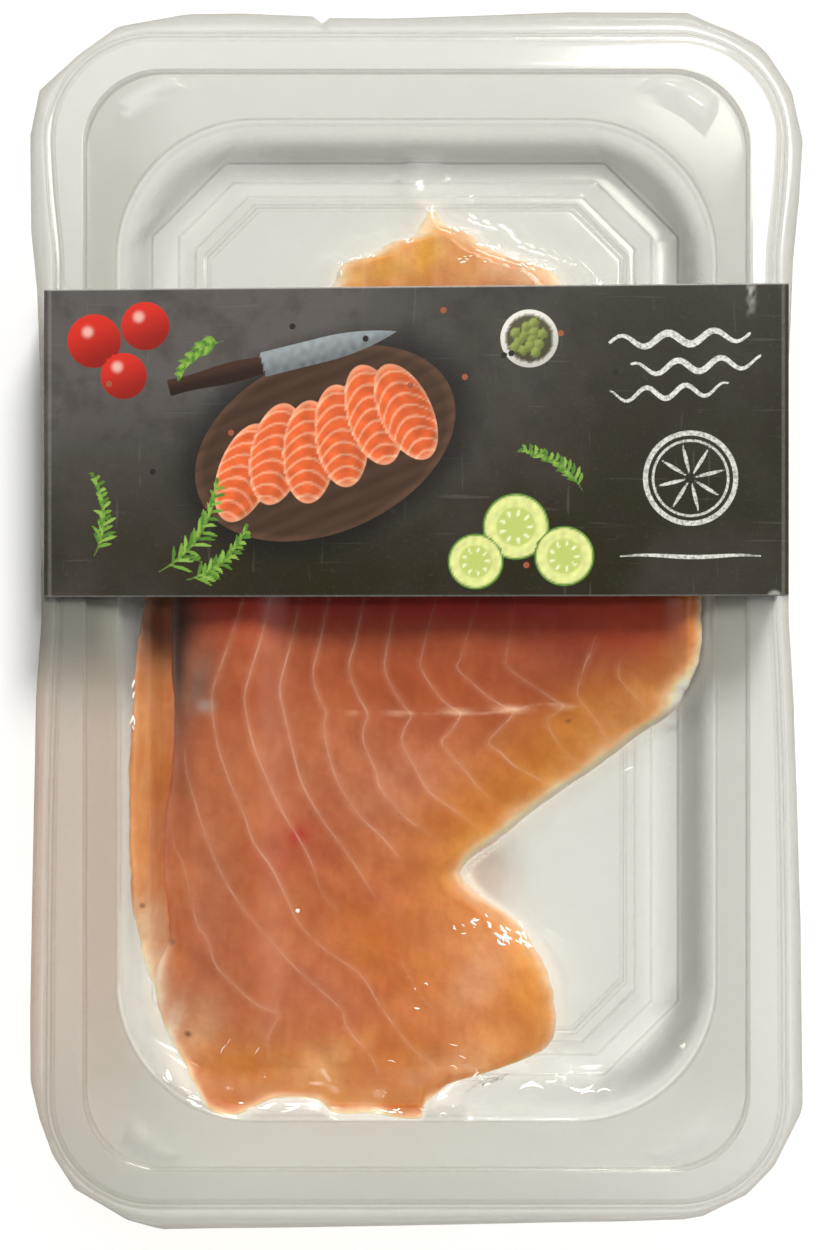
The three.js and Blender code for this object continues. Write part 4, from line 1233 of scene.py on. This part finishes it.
# What the print shows: centres, sizes and turns on the sleeve
BOARD = (-17.0, 33.0, 24.0)
KNIFE = (-17, 50.5, 14)
CAPERS = (21, 52.5)
CUCUMBERS = ((18.5, 17.5, 6.2), (27.5, 12.0, 5.6), (11.0, 11.0, 5.2))
TOMATOES = ((-60.0, 52.0, 5.0), (-50.5, 54.8, 4.5), (-54.5, 45.5, 4.3))
SPRIGS = (
    (-48, 9, 28, 20), (-43, 7.5, 12, 15), (-60, 12, 62, 15), (31, 24, 118, 14), (-36, 52, 190, 11),
)
NEEDLE_CODES = ("6F9A38", "4F7D2A", "88AE4A")
WAVES = ((36, 62, 52.5), (40, 64, 47.5), (36, 58, 42.5))
WHEEL = (51, 26.5)
CHALK = "DDDBD2"
LAYERS = ("board", "fish", "garnish", "herbs", "chalk")  # from the back
OUTSIDE = -9.0  # depth inside a shape, far from all of them


class Ink:
    """One printed layer: how far inside its shapes each point is, and the colour there."""

    def __init__(self, x, y):
        self.x, self.y = x, y
        self.inside = np.full(x.shape, OUTSIDE)
        self.colour = np.zeros((*x.shape, 3))

    def add(self, inside, colour):
        """Prints a shape over the layer. Outside all shapes the nearest one's colour is kept."""
        covered = (inside > 0) | (inside > self.inside)
        self.colour = np.where(covered[..., None], colour, self.colour)
        self.inside = np.maximum(self.inside, inside)

    def local(self, cx, cy, turn):
        """Coordinates about a centre, turned by degrees."""
        c, s = math.cos(math.radians(turn)), math.sin(math.radians(turn))
        dx, dy = self.x - cx, self.y - cy
        return dx * c + dy * s, dy * c - dx * s

    def disc(self, cx, cy, radius):
        """Coordinates about a disc's centre, and the depth inside it."""
        u, v = self.x - cx, self.y - cy
        return u, v, radius - np.hypot(u, v)

    def line(self, xs, ys, width, code):
        """Prints a line through points, of a width that tapers to its ends."""
        inside = np.full(self.x.shape, OUTSIDE)
        for k, (ax, ay, bx, by) in enumerate(zip(xs, ys, xs[1:], ys[1:])):
            u, v, dx, dy = self.x - ax, self.y - ay, bx - ax, by - ay
            t = np.clip((u * dx + v * dy) / (dx * dx + dy * dy), 0, 1)
            share = np.clip((k + t) / (len(xs) - 1), 0.04, 0.96)
            half = width / 2 * (0.35 + 0.65 * np.sin(math.pi * share))
            inside = np.maximum(inside, half - np.hypot(u - t * dx, v - t * dy))
        self.add(inside, shade(code))


def oval(u, v, half_u, half_v):
    """Depth inside an ellipse, by its scaled radius."""
    return (1 - np.hypot(u / half_u, v / half_v)) * min(half_u, half_v)


def shade(code, light=1.0):
    """A colour made lighter or darker point by point."""
    return np.array(linear(code)) * np.maximum(light, 0)[..., None]


def print_board(ink, cx, cy, turn):
    """An oval board with wood grain along it and a lighter rim."""
    u, v = ink.local(cx, cy, turn)
    grain = 0.9 + 0.12 * np.sin(v * 2.1 + 0.8 * np.sin(u * 0.11)) + 0.05 * ripples(u * 0.15, v, 1.2, 4)
    inside = oval(u, v, 25.5, 16.5)
    ink.add(inside, shade("4A3527", grain * (1 + 0.5 * smooth(1.4, 0.3, inside))))


def print_slices(ink, cx, cy):
    """Overlapping ovals up the board, each turned further, with pale lines across them."""
    for k in range(6):
        u, v = ink.local(cx - 15 + 6 * k, cy - 5.5 + 2.4 * k + 1.2 * math.sin(2 * k), 70 + 9 * k)
        inside = oval(u, v, 9.6, 4.9)
        bow = np.mod((u + 0.16 * v ** 2) / 2.3, 1)
        light = 0.75 + 0.35 * smooth(-5, 4, v) + 0.1 * ripples(u, v, 3, 40 + k)
        pale = smooth(0.34, 0.46, bow) * smooth(0.66, 0.54, bow) * 0.55 + 0.5 * smooth(0.7, 0.1, inside)
        pale = np.clip(pale, 0, 1)[..., None]
        ink.add(inside, blend(shade("D9602F", light), shade("F3BE98", light), pale))


def print_knife(ink, cx, cy, turn):
    """A blade with a lit spine, and a handle."""
    u, v = ink.local(cx, cy, turn)
    blade = np.minimum.reduce([2.3 - np.abs(v) - 0.012 * np.maximum(u, 0) ** 2, 17 - u, u + 12])
    ink.add(blade, shade("8F9698", 0.55 + 0.5 * smooth(-2, 2, v) + 0.08 * ripples(u, v, 2, 50)))
    handle = np.minimum.reduce([1.7 + 0.25 * np.cos(u * 0.35) - np.abs(v), -12 - u, u + 30])
    ink.add(handle, shade("2B1B14", 1.0 + 1.4 * smooth(-0.6, 1.4, v)))


def print_capers(ink, cx, cy):
    """A small bowl from above, and capers in it along a spiral, each lit on one side."""
    for radius, code in ((5.4, "D8D3C8"), (4.5, "8C877C"), (4.2, "4E4B33")):
        u, v, inside = ink.disc(cx, cy, radius)
        ink.add(inside, shade(code, 0.8 + 0.35 * smooth(-5, 5, v - 0.5 * u)))
    for k in range(13):
        far, at = 3.2 * math.sqrt((k + 0.5) / 13), 2.4 * k
        u, v, inside = ink.disc(cx + far * math.cos(at), cy + far * math.sin(at), 0.95)
        ink.add(inside, shade("7F8B45", 0.7 + 0.6 * smooth(-0.8, 0.8, v - u)))


def print_cucumber(ink, cx, cy, radius):
    """A wheel of cucumber: rind, pale flesh, and a wet middle with a ring of nine seeds."""
    u, v, inside = ink.disc(cx, cy, radius)
    out = np.hypot(u, v) / radius
    seeds = smooth(0.55, 0.8, np.cos(np.arctan2(v, u) * 9)) * smooth(0.12, 0.05, np.abs(out - 0.42))
    colour = dyed(shade("D9DE8E", 1 + 0.08 * ripples(u, v, 2, 60)), "B9C76A", smooth(0.62, 0.55, out))
    colour = dyed(dyed(colour, "F1F0C4", seeds), "4F7A2C", smooth(0.6, 0.25, inside))
    ink.add(inside, colour)


def print_tomato(ink, cx, cy, radius):
    """A tomato with a soft highlight."""
    u, v, inside = ink.disc(cx, cy, radius)
    colour = shade("C22A1E", 0.5 + 0.7 * smooth(-radius, radius, v - 0.4 * u))
    ink.add(inside, dyed(colour, "F6C9BC", 0.7 * smooth(1.5, 0.4, np.hypot(u + 1.2, v - 1.7))))


def print_dill(ink, draw, cx, cy, turn, size):
    """A sprig of dill: a bent stem with needles on both sides that grow shorter towards its tip."""
    s = np.linspace(0, 1, 9)
    bow = math.radians(turn) + 0.5 * s
    xs, ys = cx + size * s * np.cos(bow), cy + size * s * np.sin(bow)
    ink.line(xs, ys, 0.62, "5F7E31")
    for k in range(26):
        share = 0.12 + 0.86 * k / 25
        x, y = np.interp(share, s, xs), np.interp(share, s, ys)
        lean = math.radians(turn) + 0.5 * share + (0.85 if k % 2 else -0.85) + draw.normal(0, 0.14)
        long = (3.4 - 2.2 * share) * draw.uniform(0.75, 1.2) * size / 16
        dx, dy = long * math.cos(lean), long * math.sin(lean)
        code = NEEDLE_CODES[k % len(NEEDLE_CODES)]
        ink.line([x, x + dx / 2 + 0.2, x + dx], [y, y + dy / 2 + 0.2, y + dy], 0.66, code)


def print_chalk(ink):
    """Chalk strokes: rows of waves, a wheel of two rings and spokes, and a plain rule."""
    run = np.linspace(0, 1, 33)
    for k, (from_x, to_x, at) in enumerate(WAVES):
        wave = at + 1.15 * np.sin(run * 19 + k) + 1.5 * (run - 0.5)
        ink.line(blend(from_x, to_x, run), wave, 1.35 - 0.2 * k, "E6E4DC")
    for radius, width in ((8.4, 0.95), (7.0, 0.5)):
        ink.add(width / 2 - np.abs(ink.disc(*WHEEL, radius)[2]), shade(CHALK))
    spoke = np.array([1.0, 6.2])
    for k in range(8):
        turn = math.tau * (k + 0.3) / 8
        ink.line(WHEEL[0] + spoke * math.cos(turn), WHEEL[1] + spoke * math.sin(turn), 0.7, CHALK)
    ink.line(blend(38, 64, run), 12.0 + 0.18 * np.sin(run * 9), 0.8, CHALK)


def print_layers(x, y):
    """The sleeve's picture, in layers from the back: a board, slices of salmon, what lies beside them,
    dill with loose specks, and chalk strokes."""
    layers = {name: Ink(x, y) for name in LAYERS}
    board, fish, garnish, herbs, chalk = layers.values()
    print_board(board, *BOARD)
    print_slices(fish, *BOARD[:2])
    print_knife(garnish, *KNIFE)
    print_capers(garnish, *CAPERS)
    for place in CUCUMBERS:
        print_cucumber(garnish, *place)
    for place in TOMATOES:
        print_tomato(garnish, *place)
    draw = np.random.default_rng(12)
    for place in SPRIGS:
        print_dill(herbs, draw, *place)
    for k in range(15):
        _, _, inside = herbs.disc(draw.uniform(-66, 38), draw.uniform(8, 58), 0.6)
        herbs.add(inside, shade("8A4A33" if k % 2 else "241F1C", 1.3))
    print_chalk(chalk)
    return layers


def printed_card(name, colours):
    """Satin card: a slate ground, lit towards the far left, with blotches and scratches, darker round
    the board, then the printed layers, dusty for the chalk, and bare card where it is worn and in a
    streaky strip at the far right."""
    s = Shader(name)
    blotch, cloud, grit = s.noise(26, 4), s.noise(7, 4, rough=0.6), s.noise(0.8, 3, rough=0.7)
    along_x = s.smooth(0.66, 0.74, s.noise(5, 2, stretch=(0.25, 5.0, 1.0)))
    along_y = s.smooth(0.68, 0.76, s.noise(4, 2, stretch=(4.0, 0.3, 1.0)))
    px, py = s.position()
    lit = s.smooth(10, 62, py) * (0.16 + 1.0 * s.smooth(50, -50, px)) + 0.15 * s.smooth(-20, -60, px)
    marks = (
        (s.smooth(0.4, 0.75, blotch) * 0.25 + lit, "5A5551"),
        (s.smooth(0.45, 0.7, cloud) * 0.35, "2A2220"),
        (s.smooth(0.55, 0.8, grit) * 0.16, "6A665F"),
        ((along_x + along_y) * 0.12, "8A867C"),
        (s.clamp(s.smooth(-5.0, 0.5, s.read("board_in")) * 0.75), "100E0D"),
    )
    colour = solid(colours.ground)
    for share, code in marks:
        colour = s.mix(share, colour, solid(linear(code)))
    dust = s.smooth(0.3, 0.62, s.noise(0.7, 3, rough=0.75))
    for layer in LAYERS:
        share = s.smooth(-0.07, 0.09, s.read(layer + "_in"))
        if layer == "chalk":
            share = share * (0.35 + 0.65 * dust)
        colour = s.mix(share, colour, s.read(layer + "_ink", vector=True))
    bare = s.clamp(s.read("cut") * (0.3 + 1.1 * grit))
    surface = s.node("BsdfPrincipled", {}, {
        "Base Color": s.mix(bare, colour, solid(colours.core)),
        "Roughness": 0.40 + 0.16 * cloud - 0.05 * along_x,
        "Specular IOR Level": 0.2, "Coat Weight": 0.06, "Coat Roughness": 0.2,
        "Normal": s.bump(grit * 0.5 + blotch * 0.5, 0.06),
    })
    return s.finish(surface)


def sleeve_profile(inset):
    """Points round the sleeve seen from its end, `inset` into the card, from the left end of its top
    panel: x and z, with rounded folds."""
    half, low, high, radius = SLEEVE_HALF - inset, inset, SLEEVE_TOP - inset, FOLD - inset
    turn = np.linspace(0, math.pi / 2, 7)[1:-1]
    top = np.linspace(-half + radius, half - radius, TOP_POINTS)
    side = np.linspace(high - radius, low + radius, SIDE_POINTS)
    bottom = np.linspace(half - radius, -half + radius, BOTTOM_POINTS)

    def fold(cx, cz, start):
        return cx + radius * np.cos(start - turn), cz + radius * np.sin(start - turn)

    parts = [
        (top, high + 0 * top), fold(half - radius, high - radius, math.pi / 2),
        (half + 0 * side, side), fold(half - radius, low + radius, 0),
        (bottom, low + 0 * bottom), fold(-half + radius, low + radius, -math.pi / 2),
        (-half + 0 * side, side[::-1]), fold(-half + radius, high - radius, math.pi),
    ]
    return (np.concatenate([p[k] for p in parts]) for k in (0, 1))


def sleeve_faces(card):
    """Rows of points of the sleeve's outer face, from its near cut edge to its far one, with a top that
    bows up a little; the inner face's far and near rows; and y of both cut edges at each column."""
    (out_x, out_z), (in_x, in_z) = sleeve_profile(0.0), sleeve_profile(card)
    across = (out_x + SLEEVE_HALF) / (2 * SLEEVE_HALF)
    near, far = blend(*NEAR_CUT, across), blend(*FAR_CUT, across)
    bow = 0.07 * smooth(62.5, 56, np.abs(out_x)) * smooth(SLEEVE_TOP - 0.5, SLEEVE_TOP, out_z)
    v = np.linspace(0, 1, SLEEVE_ROWS)[:, None]
    z = out_z + bow * (1 + 0.4 * np.sin(3.0 * v + out_x * 0.05))
    outer = np.stack([np.broadcast_to(out_x, z.shape), blend(near, far, v), z], -1)
    inner = [np.stack([in_x, y, in_z + 0.8 * bow], -1) for y in (far - 0.02, near + 0.02)]
    return outer, inner, near, far


def sleeve_wear(x, y, near, far):
    """How much card colour shows: bare along its cut edges, at the left and right folds and where it is
    torn at the near right, and in a streaky strip at the far right."""
    cut = smooth(0.28, 0.05, np.minimum(y - near, far - y))
    fold = 0.35 * np.exp(-(((np.abs(x) - SLEEVE_HALF + 1.1) / 0.25) ** 2))
    pale_strip = 0.5 * np.exp(-(((x - 62.3) / 0.8) ** 4)) * smooth(55.5, 60.5, y)
    torn = smooth(1.3, 0.6, np.hypot((x - 66.6) / 1.2, y - near))
    return np.maximum.reduce([cut, fold, pale_strip * (1 + ripples(x, y, 1.5, 9)), torn])


def closed(outer, inner):
    """The outer face's rows, the inner face's two, given or all of one value, and the first again."""
    return np.concatenate([outer, np.broadcast_to(inner, (2, *outer.shape[1:])), outer[:1]])


class SALMONPACK_OT_sleeve(Piece, bpy.types.Operator):
    """Card sleeve: a band with rounded folds, printed on the outside"""

    bl_idname = "salmonpack.sleeve"
    bl_label = "Sleeve"

    def build(self, sizes, colours):
        outer, inner, near, far = sleeve_faces(sizes.card / MM)
        x, y, z = outer.transpose(2, 0, 1)
        looks = {"cut": closed(sleeve_wear(x, y, near, far), 1.0)}
        for name, layer in print_layers(x, y).items():
            inside = np.where(z > SLEEVE_TOP - 0.35, layer.inside, OUTSIDE)
            looks[name + "_in"] = closed(inside, OUTSIDE)
            looks[name + "_ink"] = closed(layer.colour, 0.0)
        points = closed(outer, inner)
        piece = put("card_sleeve", points, quads(*points.shape[:2]), looks, recalculate=True)
        finish_piece(piece, printed_card("printed_card", colours), "sleeve")


# ---- Add-on --------------------------------------------------------------------------------------

PIECES = (
    SALMONPACK_OT_stage, SALMONPACK_OT_tray, SALMONPACK_OT_salmon, SALMONPACK_OT_film,
    SALMONPACK_OT_sleeve,
)


class SALMONPACK_PT_panel(bpy.types.Panel):
    """Lists the pieces of the pack and their sizes and colours"""

    bl_label = "Salmon Pack"
    bl_idname = "SALMONPACK_PT_panel"
    bl_space_type = "VIEW_3D"
    bl_region_type = "UI"
    bl_category = "Salmon Pack"

    def draw(self, context):
        for piece in PIECES:
            self.layout.operator(piece.bl_idname)
        for group in (context.scene.salmon_pack_sizes, context.scene.salmon_pack_colours):
            for name in group.bl_rna.properties.keys():
                if name not in ("rna_type", "name"):
                    self.layout.prop(group, name)


CLASSES = (SalmonPackSizes, SalmonPackColours, *PIECES, SALMONPACK_PT_panel)


def register():
    for made in CLASSES:
        bpy.utils.register_class(made)
    bpy.types.Scene.salmon_pack_sizes = PointerProperty(type=SalmonPackSizes)
    bpy.types.Scene.salmon_pack_colours = PointerProperty(type=SalmonPackColours)


def unregister():
    del bpy.types.Scene.salmon_pack_sizes
    del bpy.types.Scene.salmon_pack_colours
    for made in reversed(CLASSES):
        bpy.utils.unregister_class(made)


def main():
    register()
    for piece in PIECES:
        group, name = piece.bl_idname.split(".")
        getattr(getattr(bpy.ops, group), name)()


if __name__ == "__main__":
    main()
